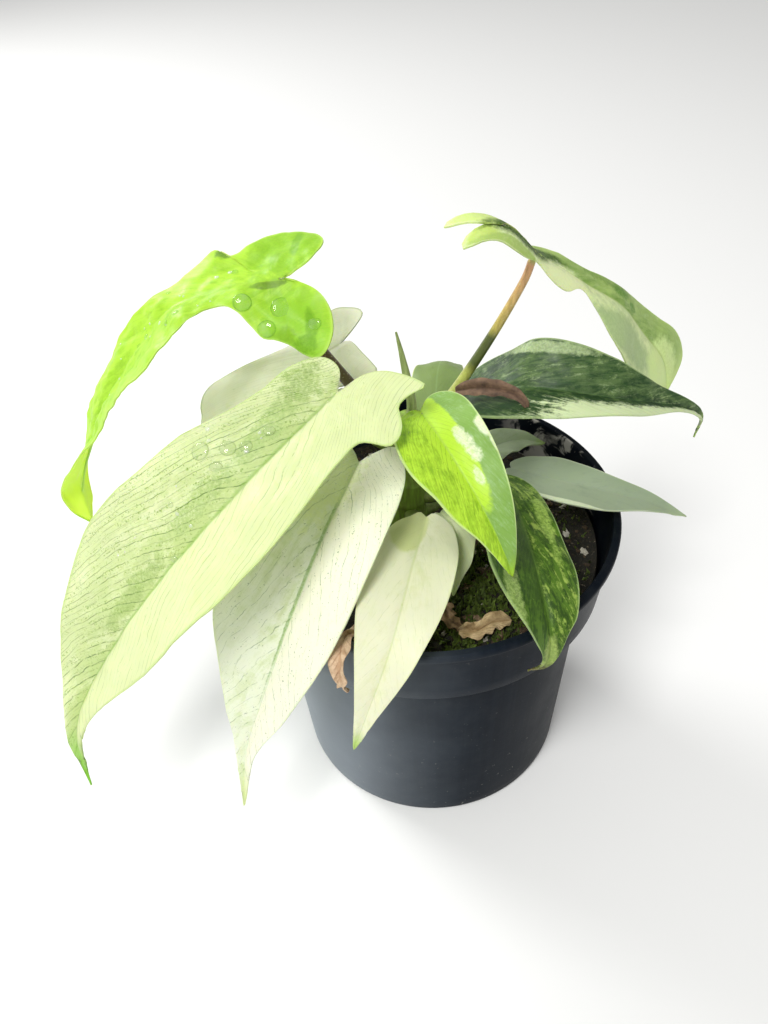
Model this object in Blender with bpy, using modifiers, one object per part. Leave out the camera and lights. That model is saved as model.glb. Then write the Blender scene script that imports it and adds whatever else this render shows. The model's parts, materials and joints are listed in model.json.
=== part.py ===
"""Florida ghost philodendron in a 12 cm nursery pot.

Metres, +Z up. The origin is the centre of the pot's base, on the surface it stands on,
and -Y is the side the plant is looked at from. Sizes below are written in millimetres.
"""
import math
import random

import bmesh
import bpy
import numpy as np
from mathutils import Vector, noise

MM = 0.001

# Pot: a 12 cm injection moulded nursery pot.
POT_HEIGHT = 104.0
LIP_RADIUS = 60.0
LIP_INNER_RADIUS = 57.4
LIP_DEPTH = 2.6
BAND_TOP_RADIUS = 58.4
BAND_BOTTOM_RADIUS = 56.4
STEP_HEIGHT = 80.5
STEP_DROP = 2.4
STEP_RADIUS = 51.4
BASE_RADIUS = 47.4
BASE_ROUND = 1.6
WALL = 1.4
FLOOR = 1.8
FLOOR_CORNER = 2.0
POT_SIDES = 56
DRAIN_HOLES = 6
DRAIN_RADIUS = 4.5
DRAIN_CIRCLE = 31.0

# Inner face of the pot's wall above its floor, as (radius, height) from the lip down.
INNER_WALL = ((BAND_BOTTOM_RADIUS - WALL, STEP_HEIGHT + 0.9), (STEP_RADIUS - WALL, STEP_HEIGHT - STEP_DROP + 0.9),
              (BASE_RADIUS - WALL, FLOOR + FLOOR_CORNER))

# Soil: fills the pot to about 14 mm below the lip.
GAP = 0.3
SOIL_TOP = 89.5
SOIL_SIDES = 40
SOIL_RINGS = (8.2, 17.0, 26.0, 35.0, 44.0, 51.0)
MOSS_CENTRE = (17.0, -33.0)
MOSS_RADIUS = 22.0
MOSS_RISE = 5.0
CHIPS = 12
SEED = 11

# Stem: the short crown that the stalks grow from.
STEM_ROUTE = ((-6.5, 2, 84), (-6.5, 2, 100), (-5.5, 2.5, 118), (-4, 3, 130), (-4, 3, 136))
STEM_RADII = (6.6, 6.6, 6.0, 5.0, 4.2)
STEM_SIDES = 12

# Leaves.
BLADE_THICKNESS = 0.8
STALK_TOP_RADIUS = 1.1
ROOT_GAP = 0.45
ROOT_RUN = 1.1
RIB_GAP = 0.5
RIB_END = 0.30
LOBE_REACH = 0.3
SPINE_STEPS = 160

# Each leaf: spine is the midrib from the sinus to the tip, and faces are the directions its upper
# face looks in, from the sinus to the tip. left and right are its half outlines, as (along, across)
# in leaf lengths, from the sinus round the basal lobe to the tip. fold holds rows of (along, left
# angle, right angle): how far each half lifts from flat. rows is the count of cells along a margin.
# stalk holds the place where the leaf stalk leaves the stem (height, heading in degrees) and the
# points it passes.
LEAVES = {
    "lime_leaf": dict(
        spine=((-37, 7, 180), (-66, 10, 172), (-88, 11, 150), (-105, 9, 124), (-112, 8, 109), (-111, 5, 95)),
        faces=((-0.05, -0.1, 1), (-0.4, -0.3, 0.7), (-0.7, -0.25, 0.5), (-0.75, 0.5, 0.2)),
        left=((-0.06, 0.03), (-0.105, 0.08), (-0.11, 0.13), (-0.08, 0.175), (-0.03, 0.165), (0.04, 0.125),
              (0.09, 0.075), (0.125, 0.052), (0.19, 0.08), (0.28, 0.115), (0.38, 0.13), (0.49, 0.11),
              (0.61, 0.065), (0.72, 0.06), (0.83, 0.07), (0.93, 0.045)),
        right=((-0.05, 0.035), (-0.08, 0.075), (-0.09, 0.115), (-0.06, 0.15), (0.0, 0.155), (0.08, 0.11),
               (0.125, 0.085), (0.165, 0.11), (0.22, 0.085), (0.31, 0.065), (0.45, 0.08), (0.6, 0.07),
               (0.75, 0.075), (0.87, 0.07), (0.95, 0.035)),
        fold=((0, -45, 5), (0.25, 10, 10), (1, 15, 15)), rows=28, colour=(0.36, 0.78, 0.04),
        stalk=dict(height=126, heading=135, radius=2.0,
                   through=((-15, 12, 132), (-26, 16, 146), (-34, 13.5, 162), (-36.6, 9.5, 173)))),
    "big_mint_leaf": dict(
        spine=((-22, -17, 160), (-48, -41, 146), (-76, -46, 115), (-100, -48, 81), (-109, -55, 63),
               (-107, -63, 46)),
        faces=((0.1, -0.25, 1), (-0.25, -0.45, 0.8), (-0.6, -0.7, 0.35)),
        left=((-0.05, 0.03), (-0.085, 0.075), (-0.095, 0.12), (-0.045, 0.1), (-0.01, 0.115), (0.025, 0.145),
              (0.06, 0.125), (0.095, 0.087), (0.14, 0.092), (0.22, 0.12), (0.34, 0.132), (0.48, 0.12),
              (0.62, 0.095), (0.76, 0.06), (0.88, 0.022)),
        right=((-0.03, 0.025), (-0.025, 0.06), (0.02, 0.085), (0.08, 0.09), (0.15, 0.105), (0.25, 0.138),
               (0.37, 0.16), (0.47, 0.172), (0.57, 0.165), (0.67, 0.13), (0.76, 0.085), (0.85, 0.035),
               (0.93, 0.012)),
        fold=((0, 12, 12), (1, 15, 15)), rows=28, colour=(0.74, 0.86, 0.56),
        stalk=dict(height=127.5, heading=185, radius=2.0,
                   through=((-15.5, 0.8, 131.5), (-19, -3, 143), (-21, -10, 154.5)))),
    "cream_back_leaf": dict(
        spine=((-26, 35, 142), (-41, 33, 134), (-56, 28, 126), (-69, 22, 116), (-78, 15, 102)),
        faces=((0.0, -0.3, 1), (-0.1, -0.3, 0.9), (-0.3, -0.3, 0.8)),
        left=((-0.04, 0.03), (-0.09, 0.08), (-0.11, 0.15), (-0.06, 0.2), (0.04, 0.19), (0.2, 0.17),
              (0.4, 0.17), (0.6, 0.14), (0.8, 0.07), (0.92, 0.025)),
        right=((-0.07, 0.03), (-0.15, 0.06), (-0.15, 0.095), (-0.09, 0.135), (-0.02, 0.135), (0.12, 0.115),
               (0.27, 0.12), (0.42, 0.155), (0.56, 0.175), (0.68, 0.15), (0.8, 0.09), (0.92, 0.03)),
        fold=((0, -25, 12), (0.25, 5, 12), (1, 15, 15)), rows=18, colour=(0.83, 0.85, 0.66),
        stalk=dict(height=117, heading=112, radius=1.6,
                   through=((-11, 15, 122), (-19, 27, 131), (-24.5, 34, 138.5)))),
    "white_front_leaf": dict(
        spine=((-19, -9, 130), (-27, -35, 127), (-38, -50, 107), (-49, -55, 79), (-57, -58, 56),
               (-60, -65, 36)),
        faces=((0.1, -0.3, 1), (-0.1, -0.5, 0.8), (-0.4, -0.8, 0.3)),
        left=((-0.025, 0.03), (-0.045, 0.06), (-0.03, 0.09), (0.05, 0.122), (0.16, 0.132), (0.32, 0.13),
              (0.48, 0.113), (0.62, 0.083), (0.76, 0.045), (0.9, 0.017)),
        right=((-0.025, 0.03), (-0.03, 0.065), (0.02, 0.105), (0.1, 0.128), (0.22, 0.145), (0.36, 0.158),
               (0.48, 0.162), (0.58, 0.14), (0.69, 0.09), (0.8, 0.04), (0.91, 0.012)),
        fold=((0, 20, 12), (0.45, 20, 12), (1, 15, 15)), rows=20, colour=(0.88, 0.9, 0.8),
        stalk=dict(height=113, heading=205, radius=1.9,
                   through=((-16, -4, 118), (-18.5, -6.5, 125)))),
    "cream_front_leaf": dict(
        spine=((0, -18, 116), (-4, -40, 119), (-10, -62, 111), (-17, -68, 91), (-22, -68.5, 74)),
        faces=((0.1, -0.3, 1), (0.05, -0.5, 0.8), (-0.1, -0.8, 0.5)),
        left=((-0.02, 0.025), (0.02, 0.07), (0.09, 0.108), (0.2, 0.132), (0.31, 0.138), (0.42, 0.122),
              (0.55, 0.09), (0.7, 0.052), (0.86, 0.022)),
        right=((-0.01, 0.025), (0.04, 0.07), (0.13, 0.112), (0.24, 0.136), (0.36, 0.145), (0.47, 0.137),
               (0.58, 0.108), (0.7, 0.068), (0.84, 0.028)),
        fold=((0, 10, 4), (0.5, 14, 4), (1, 15, 15)), rows=16, colour=(0.88, 0.92, 0.64),
        stalk=dict(height=104, heading=285, radius=1.6,
                   through=((-3, -10.5, 106.5), (-1.0, -15, 111)))),
    "centre_leaf": dict(
        spine=((-1, -13, 150), (5, -29, 151), (14, -43, 142), (19, -48, 132), (22, -49, 123)),
        faces=((-0.1, -0.3, 1), (0.1, -0.4, 0.8), (0.3, -0.7, 0.6)),
        left=((-0.04, 0.07), (0.0, 0.145), (0.1, 0.19), (0.25, 0.197), (0.4, 0.185), (0.55, 0.158),
              (0.7, 0.11), (0.85, 0.055)),
        right=((0.0, 0.05), (0.07, 0.13), (0.17, 0.195), (0.3, 0.222), (0.43, 0.215), (0.57, 0.17),
               (0.72, 0.1), (0.87, 0.04)),
        fold=((0, 20, 20), (1, 20, 20)), rows=14, colour=(0.48, 0.72, 0.16),
        stalk=dict(height=128, heading=268, radius=1.7,
                   through=((-3.6, -6.5, 134), (-2.4, -10, 142)))),
    "dark_drooping_leaf": dict(
        spine=((23, 1, 114), (26, -14, 116.5), (29, -38, 117), (31.5, -54, 110), (31.5, -57.5, 99), (27, -55, 91)),
        faces=((0.3, -0.2, 1), (0.4, -0.4, 0.8), (0.4, -0.8, 0.3)),
        left=((-0.01, 0.035), (0.05, 0.08), (0.15, 0.11), (0.3, 0.122), (0.46, 0.132), (0.6, 0.13),
              (0.71, 0.105), (0.79, 0.055), (0.9, 0.018)),
        right=((-0.01, 0.04), (0.06, 0.1), (0.18, 0.15), (0.32, 0.18), (0.45, 0.188), (0.55, 0.158),
               (0.66, 0.1), (0.77, 0.052), (0.89, 0.02)),
        fold=((0, 12, 12), (1, 15, 15)), rows=16, colour=(0.2, 0.36, 0.1),
        stalk=dict(height=107, heading=350, radius=1.6,
                   through=((7, 1, 108.5), (17, 2.5, 111)))),
    "grey_side_leaf": dict(
        spine=((28, 16, 105), (37, 8, 110), (49, 2, 113), (65, -3, 112), (78, -10, 106)),
        faces=((0.0, -0.3, 1), (0.1, -0.3, 0.9), (0.2, -0.3, 0.8)),
        left=((-0.02, 0.035), (0.07, 0.1), (0.24, 0.13), (0.42, 0.12), (0.6, 0.09), (0.8, 0.055)),
        right=((-0.01, 0.035), (0.1, 0.105), (0.26, 0.145), (0.42, 0.157), (0.56, 0.145), (0.72, 0.095),
               (0.88, 0.035)),
        fold=((0, 12, 12), (1, 15, 15)), rows=12, colour=(0.52, 0.62, 0.46),
        stalk=dict(height=99, heading=15, radius=1.4,
                   through=((8, 8, 100.0), (20, 14, 102.5)))),
    "pale_low_leaf": dict(
        spine=((10, 14, 103), (20, 24, 106), (31, 32, 104), (42, 36, 99)),
        faces=((0.0, -0.2, 1), (0.1, -0.2, 0.9), (0.2, -0.3, 0.8)),
        left=((0.0, 0.05), (0.1, 0.11), (0.3, 0.14), (0.5, 0.135), (0.7, 0.1), (0.88, 0.04)),
        right=((0.0, 0.05), (0.1, 0.12), (0.3, 0.16), (0.5, 0.155), (0.7, 0.11), (0.88, 0.045)),
        fold=((0, 12, 12), (1, 15, 15)), rows=10, colour=(0.62, 0.7, 0.54),
        stalk=dict(height=97, heading=50, radius=1.2, through=((4.5, 10, 98.6),))),
    "dark_side_leaf": dict(
        spine=((14, 14, 137), (31, 2, 146), (54, 0, 143), (74, 8, 134), (84, 13, 126), (84, 14, 117)),
        faces=((0.0, -0.3, 1), (0.1, -0.4, 0.8), (0.5, -0.4, 0.7)),
        left=((-0.02, 0.05), (0.03, 0.095), (0.12, 0.135), (0.24, 0.155), (0.37, 0.148), (0.48, 0.122),
              (0.6, 0.08), (0.74, 0.04), (0.88, 0.015)),
        right=((-0.01, 0.06), (0.05, 0.13), (0.14, 0.185), (0.21, 0.18), (0.29, 0.137), (0.4, 0.105),
               (0.55, 0.068), (0.7, 0.038), (0.86, 0.018)),
        fold=((0, 20, 20), (1, 20, 20)), rows=18, colour=(0.16, 0.3, 0.14),
        stalk=dict(height=121, heading=40, radius=1.8, through=((5, 11, 125), (10.5, 14.5, 131)))),
    "tall_right_leaf": dict(
        spine=((29.5, 7, 184.5), (44, 13, 172), (57, 20, 160.5), (67, 28, 146), (76, 33, 133), (80, 36, 119)),
        faces=((0.5, -0.1, 0.8), (0.6, -0.3, 0.7), (0.8, -0.5, 0.4)),
        left=((-0.05, 0.015), (-0.12, 0.02), (-0.2, 0.025), (-0.25, 0.03), (-0.25, 0.055), (-0.17, 0.08),
              (-0.08, 0.085), (0.0, 0.075), (0.12, 0.055), (0.22, 0.04), (0.35, 0.045), (0.5, 0.06),
              (0.66, 0.085), (0.8, 0.1), (0.92, 0.065)),
        right=((-0.05, 0.015), (-0.15, 0.02), (-0.26, 0.025), (-0.32, 0.035), (-0.32, 0.06), (-0.24, 0.085),
               (-0.12, 0.09), (0.0, 0.09), (0.07, 0.11), (0.13, 0.125), (0.18, 0.1), (0.23, 0.07),
               (0.35, 0.1), (0.5, 0.125), (0.66, 0.145), (0.8, 0.13), (0.92, 0.07)),
        fold=((0, -25, 15), (0.12, 5, -20), (0.3, 10, -20), (1, 15, -10)), lobes=(18, 40, 30), rows=28,
        colour=(0.6, 0.74, 0.4),
        stalk=dict(height=131, heading=15, radius=2.0,
                   through=((4, 4.6, 136), (11, 5, 147), (20, 8, 161), (27, 8, 175.5)))),
    "small_back_leaf": dict(
        spine=((2, 12, 112), (4, 24, 122), (6, 39, 126), (9, 52, 119), (11, 62, 107)),
        faces=((0.0, -0.3, 1), (0, 0, 1), (0, 0.5, 0.8)),
        left=((-0.02, 0.04), (0.06, 0.1), (0.2, 0.14), (0.4, 0.155), (0.6, 0.13), (0.78, 0.08),
              (0.9, 0.035)),
        right=((-0.02, 0.04), (0.06, 0.1), (0.2, 0.15), (0.4, 0.165), (0.6, 0.14), (0.78, 0.085),
               (0.9, 0.035)),
        fold=((0, 10, 10), (1, 10, 10)), rows=12, colour=(0.6, 0.68, 0.5),
        stalk=dict(height=105, heading=72, radius=1.4, through=((-1.5, 10.5, 107),))),
    "small_cream_leaf": dict(
        spine=((4, -9, 109), (8, -19, 112), (9, -29, 110), (7, -38, 104)),
        faces=((0.0, -0.3, 1), (0, -0.4, 0.8), (0, -0.8, 0.6)),
        left=((-0.01, 0.04), (0.06, 0.1), (0.2, 0.15), (0.4, 0.17), (0.6, 0.14), (0.8, 0.07),
              (0.91, 0.03)),
        right=((-0.01, 0.04), (0.06, 0.1), (0.2, 0.15), (0.4, 0.17), (0.6, 0.14), (0.8, 0.07),
               (0.91, 0.03)),
        fold=((0, 12, 12), (1, 15, 15)), rows=10, colour=(0.84, 0.88, 0.62),
        stalk=dict(height=98, heading=312, radius=1.2, through=((0.6, -5.5, 101.5), (3, -8, 105.5)))),
}

# Dry scraps are blades with no stalk: the papery sheath at the crown and two dead leaves.
SCRAPS = {
    "dry_sheath": dict(
        spine=((9, 1.5, 146), (17, -3, 149), (26, -5, 149.5), (32, -7, 147.5)),
        faces=((-0.2, -0.5, 1), (0, -0.6, 0.8), (0.2, -0.6, 0.7)),
        left=((0.02, 0.05), (0.15, 0.1), (0.4, 0.11), (0.7, 0.07), (0.9, 0.03)),
        right=((0.02, 0.05), (0.15, 0.1), (0.4, 0.1), (0.7, 0.08), (0.9, 0.03)),
        fold=((0, 35, 35), (1, 30, 30)), rows=8, colour=(0.3, 0.14, 0.08)),
    "dry_leaf_on_rim": dict(
        spine=((-15, -40, 95.5), (-19, -48, 101), (-22.5, -55.3, 106), (-24, -61, 103.5),
               (-24, -62, 95), (-22, -60.5, 88)),
        faces=((0, -0.3, 1), (-0.2, -0.5, 1), (-0.4, -0.9, 0.5), (-0.5, -0.9, -0.2)),
        left=((0.02, 0.05), (0.15, 0.1), (0.4, 0.11), (0.65, 0.11), (0.85, 0.06)),
        right=((0.02, 0.05), (0.15, 0.1), (0.4, 0.11), (0.65, 0.11), (0.85, 0.05)),
        fold=((0, 10, 10), (1, 25, 25)), rows=10, colour=(0.62, 0.46, 0.36)),
    "dry_leaf_on_soil": dict(
        spine=((2, -43, 92), (9, -46, 92.8), (17, -47.5, 93.4), (25, -46, 93.4)),
        faces=((0, -0.2, 1), (0, -0.4, 1), (0.2, -0.2, 1)),
        left=((0.02, 0.06), (0.2, 0.14), (0.45, 0.13), (0.7, 0.12), (0.88, 0.06)),
        right=((0.02, 0.06), (0.2, 0.12), (0.45, 0.15), (0.7, 0.1), (0.88, 0.05)),
        fold=((0, 25, 25), (1, 20, 20)), rows=8, colour=(0.64, 0.5, 0.34)),
}

# New leaf spike: a rolled leaf that stands on the stem's top.
SPIKE_ROUTE = ((-3.5, 3, 136.4), (-3.5, 3.2, 143), (-5.5, 4, 156), (-7, 4, 164))
SPIKE_RADII = (2.2, 1.9, 1.2, 0.5)


def clear_scene():
    """Empty the scene of whatever it started with."""
    for thing in list(bpy.data.objects):
        bpy.data.objects.remove(thing, do_unlink=True)


def make_collection(name):
    """A collection linked to the scene."""
    collection = bpy.data.collections.new(name)
    bpy.context.scene.collection.children.link(collection)
    return collection


def make_material(name, colour, roughness, metallic=0.0):
    """A plain Principled material."""
    material = bpy.data.materials.new(name)
    material.use_nodes = True
    shader = material.node_tree.nodes["Principled BSDF"]
    shader.inputs["Base Color"].default_value = (*colour, 1.0)
    shader.inputs["Roughness"].default_value = roughness
    shader.inputs["Metallic"].default_value = metallic
    material.diffuse_color = (*colour, 1.0)
    return material


def add_object(name, data, collection, material=None):
    """Link a new object with this data, and give it its material."""
    thing = bpy.data.objects.new(name, data)
    collection.objects.link(thing)
    if material:
        data.materials.append(material)
    return thing


def bake(thing):
    """Replace an object by a mesh object of what its modifiers or its bevel make."""
    bpy.context.view_layer.update()
    graph = bpy.context.evaluated_depsgraph_get()
    mesh = bpy.data.meshes.new_from_object(thing.evaluated_get(graph))
    work = bmesh.new()
    work.from_mesh(mesh)
    bmesh.ops.remove_doubles(work, verts=work.verts, dist=0.01 * MM)
    bmesh.ops.recalc_face_normals(work, faces=work.faces)
    work.to_mesh(mesh)
    work.free()
    baked = bpy.data.objects.new(thing.name + "_baked", mesh)
    baked.matrix_world = thing.matrix_world.copy()
    for collection in thing.users_collection:
        collection.objects.link(baked)
    name = thing.name
    bpy.data.objects.remove(thing, do_unlink=True)
    baked.name = name
    return baked


def turned(name, profile, sides, collection, material):
    """A turned solid: a (radius, height) profile in mm, run down its outer side.

    It closes on itself, apart from where it lies on the axis.
    """
    mesh = bpy.data.meshes.new(name)
    points = [(radius * MM, 0.0, height * MM) for radius, height in profile]
    pairs = [(i, (i + 1) % len(points)) for i in range(len(points))]
    edges = [pair for pair in pairs if points[pair[0]][0] + points[pair[1]][0] > 0]
    mesh.from_pydata(points, edges, [])
    thing = add_object(name, mesh, collection, material)
    screw = thing.modifiers.new("Turn", "SCREW")
    screw.steps = sides
    screw.render_steps = sides
    screw.use_merge_vertices = True
    screw.merge_threshold = 0.00001
    return thing


def boolean(thing, cutter, operation):
    """Cut or join another object, which becomes a hidden helper."""
    step = thing.modifiers.new(operation.title(), "BOOLEAN")
    step.operation = operation
    step.solver = "EXACT"
    step.object = cutter
    cutter.hide_render = True
    cutter.display_type = "WIRE"


def tube(name, route, radii, sides, collection, material=None):
    """A solid tube along a route in mm, with its own radius at each point."""
    curve = bpy.data.curves.new(name, "CURVE")
    curve.dimensions = "3D"
    curve.bevel_depth = MM
    curve.bevel_resolution = sides // 2 - 2
    curve.use_fill_caps = True
    line = curve.splines.new("POLY")
    line.points.add(len(route) - 1)
    for point, place, radius in zip(line.points, route, radii):
        point.co = (*[value * MM for value in place], 1.0)
        point.radius = radius
    return add_object(name, curve, collection, material)


def unit(vectors):
    """Vectors scaled to length one."""
    vectors = np.asarray(vectors, float)
    return vectors / np.maximum(np.linalg.norm(vectors, axis=-1, keepdims=True), 1e-9)


def smooth_curve(points, count):
    """Points spaced evenly by length on a smooth curve through the control points."""
    control = np.asarray(points, float)
    control = np.vstack([2 * control[0] - control[1], control, 2 * control[-1] - control[-2]])
    pieces = []
    for a, b, c, d in zip(control, control[1:], control[2:], control[3:]):
        t = np.linspace(0, 1, 40, endpoint=False)[:, None]
        bend = 2 * a - 5 * b + 4 * c - d
        pieces.append(0.5 * (2 * b + (c - a) * t + bend * t**2 + (3 * b - a - 3 * c + d) * t**3))
    dense = np.vstack(pieces + [control[-2][None]])
    length = np.concatenate([[0], np.cumsum(np.linalg.norm(np.diff(dense, axis=0), axis=1))])
    at = np.linspace(0, length[-1], count)
    return np.stack([np.interp(at, length, dense[:, k]) for k in range(control.shape[1])], -1), length[-1]


class Blade:
    """A leaf blade: a flat outline bent along a midrib in space."""

    def __init__(self, spec):
        self.spec = spec
        self.spine, self.length = smooth_curve(spec["spine"], SPINE_STEPS + 1)
        self.along = unit(np.gradient(self.spine, axis=0))
        fraction = np.linspace(0, 1, SPINE_STEPS + 1)
        faces = np.asarray(spec["faces"], float)
        marks = np.linspace(0, 1, len(faces))
        up = np.stack([np.interp(fraction, marks, faces[:, k]) for k in range(3)], -1)
        up -= (up * self.along).sum(1, keepdims=True) * self.along
        self.up = unit(up)
        self.side = np.cross(self.along, self.up)

    def frame_at(self, fraction):
        """Place, heading, upper face and right-hand side of the midrib at a fraction of its length."""
        position = np.clip(fraction, 0, 1) * SPINE_STEPS
        index = np.clip(position.astype(int), 0, SPINE_STEPS - 1)
        weight = (position - index)[..., None]
        rows = []
        for values in (self.spine, self.along, self.up, self.side):
            rows.append(values[index] * (1 - weight) + values[index + 1] * weight)
        return rows[0], unit(rows[1]), unit(rows[2]), unit(rows[3])

    def fold_at(self, fraction, left):
        """Angle in radians by which a half of the blade lifts from flat."""
        rows = self.spec["fold"]
        column = np.where(left, np.interp(fraction, [r[0] for r in rows], [r[1] for r in rows]),
                          np.interp(fraction, [r[0] for r in rows], [r[2] for r in rows]))
        return np.radians(column)

    def place(self, along, across):
        """Bend flat leaf coordinates, in leaf lengths, to mm. Lobes reach back past the sinus."""
        along = np.asarray(along, float)
        place, heading, up, side = self.frame_at(along)
        back = np.minimum(along, 0) * self.length
        lift, left_droop, right_droop = self.spec.get("lobes", (0, 0, 0))
        droop = np.where(across < 0, left_droop, right_droop) * np.abs(np.minimum(along, 0) / LOBE_REACH)**3
        tilt = np.radians(lift - droop)
        place = place + (heading * np.cos(tilt)[..., None] - up * np.sin(tilt)[..., None]) * back[..., None]
        fold = self.fold_at(np.clip(along, 0, 1), across < 0)
        reach = across * self.length
        place = place + side * (reach * np.cos(fold))[..., None]
        return place + up * (np.abs(reach) * np.sin(fold))[..., None]

    def margin(self, side, rows):
        """The half outline from the sinus to the tip, as (along, across) rows."""
        points = self.spec["left" if side < 0 else "right"]
        curve, _ = smooth_curve([(0, 0), *points, (1, 0)], rows + 1)
        return curve

    def grid(self, rows, columns):
        """Flat coordinates of every vertex: row by row from the sinus, from left margin to right."""
        margins = {side: self.margin(side, rows) for side in (-1, 1)}
        origin = np.mean([m[:, 0] - 0.9 * m[:, 1] for m in margins.values()], axis=0)
        origin = np.maximum.accumulate(np.clip(origin, 0, 0.97) + 0.004 * np.arange(rows + 1))
        origin = np.clip(origin - origin[0], 0, 0.985)
        origin[-1] = 1.0
        spread = np.linspace(0, 1, columns + 1)[None, :]
        halves = []
        for side in (-1, 1):
            along = margins[side][:, :1]
            across = margins[side][:, 1:]
            start = origin[:, None]
            middle = start + 0.35 * (along - start)
            y = (1 - spread)**2 * start + 2 * spread * (1 - spread) * middle + spread**2 * along
            x = 1.1 * spread * (1 - spread) * across + spread**2 * across
            halves.append((y, side * x))
        along = np.hstack([halves[0][0][:, ::-1], halves[1][0][:, 1:]])
        across = np.hstack([halves[0][1][:, ::-1], halves[1][1][:, 1:]])
        return along, across


def blade_object(name, spec, columns, collection, material):
    """A blade: a grid of faces bent into the leaf's shape, triangulated and given its thickness."""
    blade = Blade(spec)
    rows = spec["rows"]
    along, across = blade.grid(rows, columns)
    places = blade.place(along, across) * MM
    work = bmesh.new()
    bmesh.ops.create_grid(work, x_segments=2 * columns, y_segments=rows, size=1.0)
    for vertex in work.verts:
        column = round((vertex.co.x + 1) * columns)
        row = round((vertex.co.y + 1) * rows / 2)
        vertex.co = Vector(places[row, column])
    bmesh.ops.remove_doubles(work, verts=work.verts, dist=0.02 * MM)
    bmesh.ops.recalc_face_normals(work, faces=work.faces)
    mesh = bpy.data.meshes.new(name)
    work.to_mesh(mesh)
    work.free()
    thing = add_object(name, mesh, collection, material)
    thing.modifiers.new("Triangles", "TRIANGULATE")
    solid = thing.modifiers.new("Thickness", "SOLIDIFY")
    solid.thickness = BLADE_THICKNESS * MM
    solid.offset = 0.0
    return thing


def stem_point(height):
    """Place and radius of the stem at a height."""
    heights = [point[2] for point in STEM_ROUTE]
    place = [np.interp(height, heights, [point[k] for point in STEM_ROUTE]) for k in range(3)]
    return np.array(place), np.interp(height, heights, STEM_RADII)


def stalk_route(blade, stalk):
    """The stalk's route: out of the stem, up to the sinus and on under the blade as its rib."""
    middle, stem_radius = stem_point(stalk["height"])
    heading = math.radians(stalk["heading"])
    out = np.array([math.cos(heading), math.sin(heading), 0.0])
    root = middle + out * (stem_radius + ROOT_GAP)
    route = [root + out * ROOT_RUN, *np.asarray(stalk["through"], float)]
    for fraction in np.array([0.012, 0.05, 0.1, 0.17, 0.24, RIB_END]):
        place, _, up, _ = blade.frame_at(fraction)
        radius = rib_radius(fraction)
        folds = [float(blade.fold_at(fraction, left)) for left in (True, False)]
        clear = BLADE_THICKNESS / 2 + radius + RIB_GAP
        drop = clear / math.cos(min(0.0, *folds))
        route.append(place - up * drop)
    return root, np.array(route)


def rib_radius(fraction):
    """Radius of the rib under the blade: it tapers from the stalk's to a fine end."""
    return STALK_TOP_RADIUS * (1.0 - 0.55 * fraction / RIB_END)


def stalk_object(name, blade, stalk, collection, material):
    """A leaf stalk and its rib, thick at the stem and fine at its end."""
    root, controls = stalk_route(blade, stalk)
    count = max(12, int(np.linalg.norm(np.diff(controls, axis=0), axis=1).sum() / 5.0))
    route, length = smooth_curve(controls, count)
    rib = RIB_END * blade.length / length
    at = np.linspace(0, 1, count)
    radii = np.interp(at, [0, 0.25 * (1 - rib), 1 - rib, 1],
                      [stalk["radius"], 0.7 * stalk["radius"] + 0.3 * STALK_TOP_RADIUS,
                       STALK_TOP_RADIUS, rib_radius(RIB_END)])
    return tube(name, [root, *route], [radii[0], *radii], 6, collection, material)


def make_pot(collection, cutters):
    """The pot, turned from one profile, with drain holes through its floor."""
    inner_base = BASE_RADIUS - WALL
    profile = [(LIP_INNER_RADIUS, POT_HEIGHT), (LIP_RADIUS - 0.5, POT_HEIGHT),
               (LIP_RADIUS, POT_HEIGHT - 0.5), (LIP_RADIUS, POT_HEIGHT - LIP_DEPTH),
               (BAND_TOP_RADIUS, POT_HEIGHT - LIP_DEPTH - 0.4), (BAND_BOTTOM_RADIUS, STEP_HEIGHT),
               (STEP_RADIUS, STEP_HEIGHT - STEP_DROP), (BASE_RADIUS, BASE_ROUND),
               (BASE_RADIUS - 0.4, 0.4), (BASE_RADIUS - BASE_ROUND, 0.0), (0.0, 0.0)]
    inside = [(0.0, FLOOR), (inner_base - FLOOR_CORNER, FLOOR), *reversed(INNER_WALL),
              (LIP_INNER_RADIUS - 0.3, POT_HEIGHT - 2.0)]
    material = make_material("pot_plastic", (0.055, 0.065, 0.078), 0.42)
    pot = turned("pot", profile + inside, POT_SIDES, collection, material)
    for k in range(DRAIN_HOLES):
        turn = 2 * math.pi * k / DRAIN_HOLES
        bpy.ops.mesh.primitive_cylinder_add(
            vertices=12, radius=DRAIN_RADIUS * MM, depth=4 * FLOOR * MM,
            location=(DRAIN_CIRCLE * math.cos(turn) * MM, DRAIN_CIRCLE * math.sin(turn) * MM, 0))
        hole = bpy.context.object
        hole.name = f"drain_cutter_{k}"
        for other in hole.users_collection:
            other.objects.unlink(hole)
        cutters.objects.link(hole)
        boolean(pot, hole, "DIFFERENCE")
    return pot


def inner_wall(height):
    """Inner radius of the pot's wall at a height."""
    corners = [(LIP_INNER_RADIUS - 0.3, POT_HEIGHT - 2.0), *INNER_WALL]
    heights = [corner[1] for corner in reversed(corners)]
    radii = [corner[0] for corner in reversed(corners)]
    return float(np.interp(height, heights, radii))


def soil_rise(x, y):
    """Height of the soil's surface above its mean, in mm: lumps, and a mound of moss in front."""
    lumps = 1.3 * noise.noise(Vector((x * 0.09, y * 0.09, 3.1)))
    lumps += 0.7 * noise.noise(Vector((x * 0.23, y * 0.23, 7.7)))
    away = math.hypot(x - MOSS_CENTRE[0], y - MOSS_CENTRE[1]) / MOSS_RADIUS
    mound = MOSS_RISE * max(0.0, 1.0 - away * away)**1.2
    return lumps + mound


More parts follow.
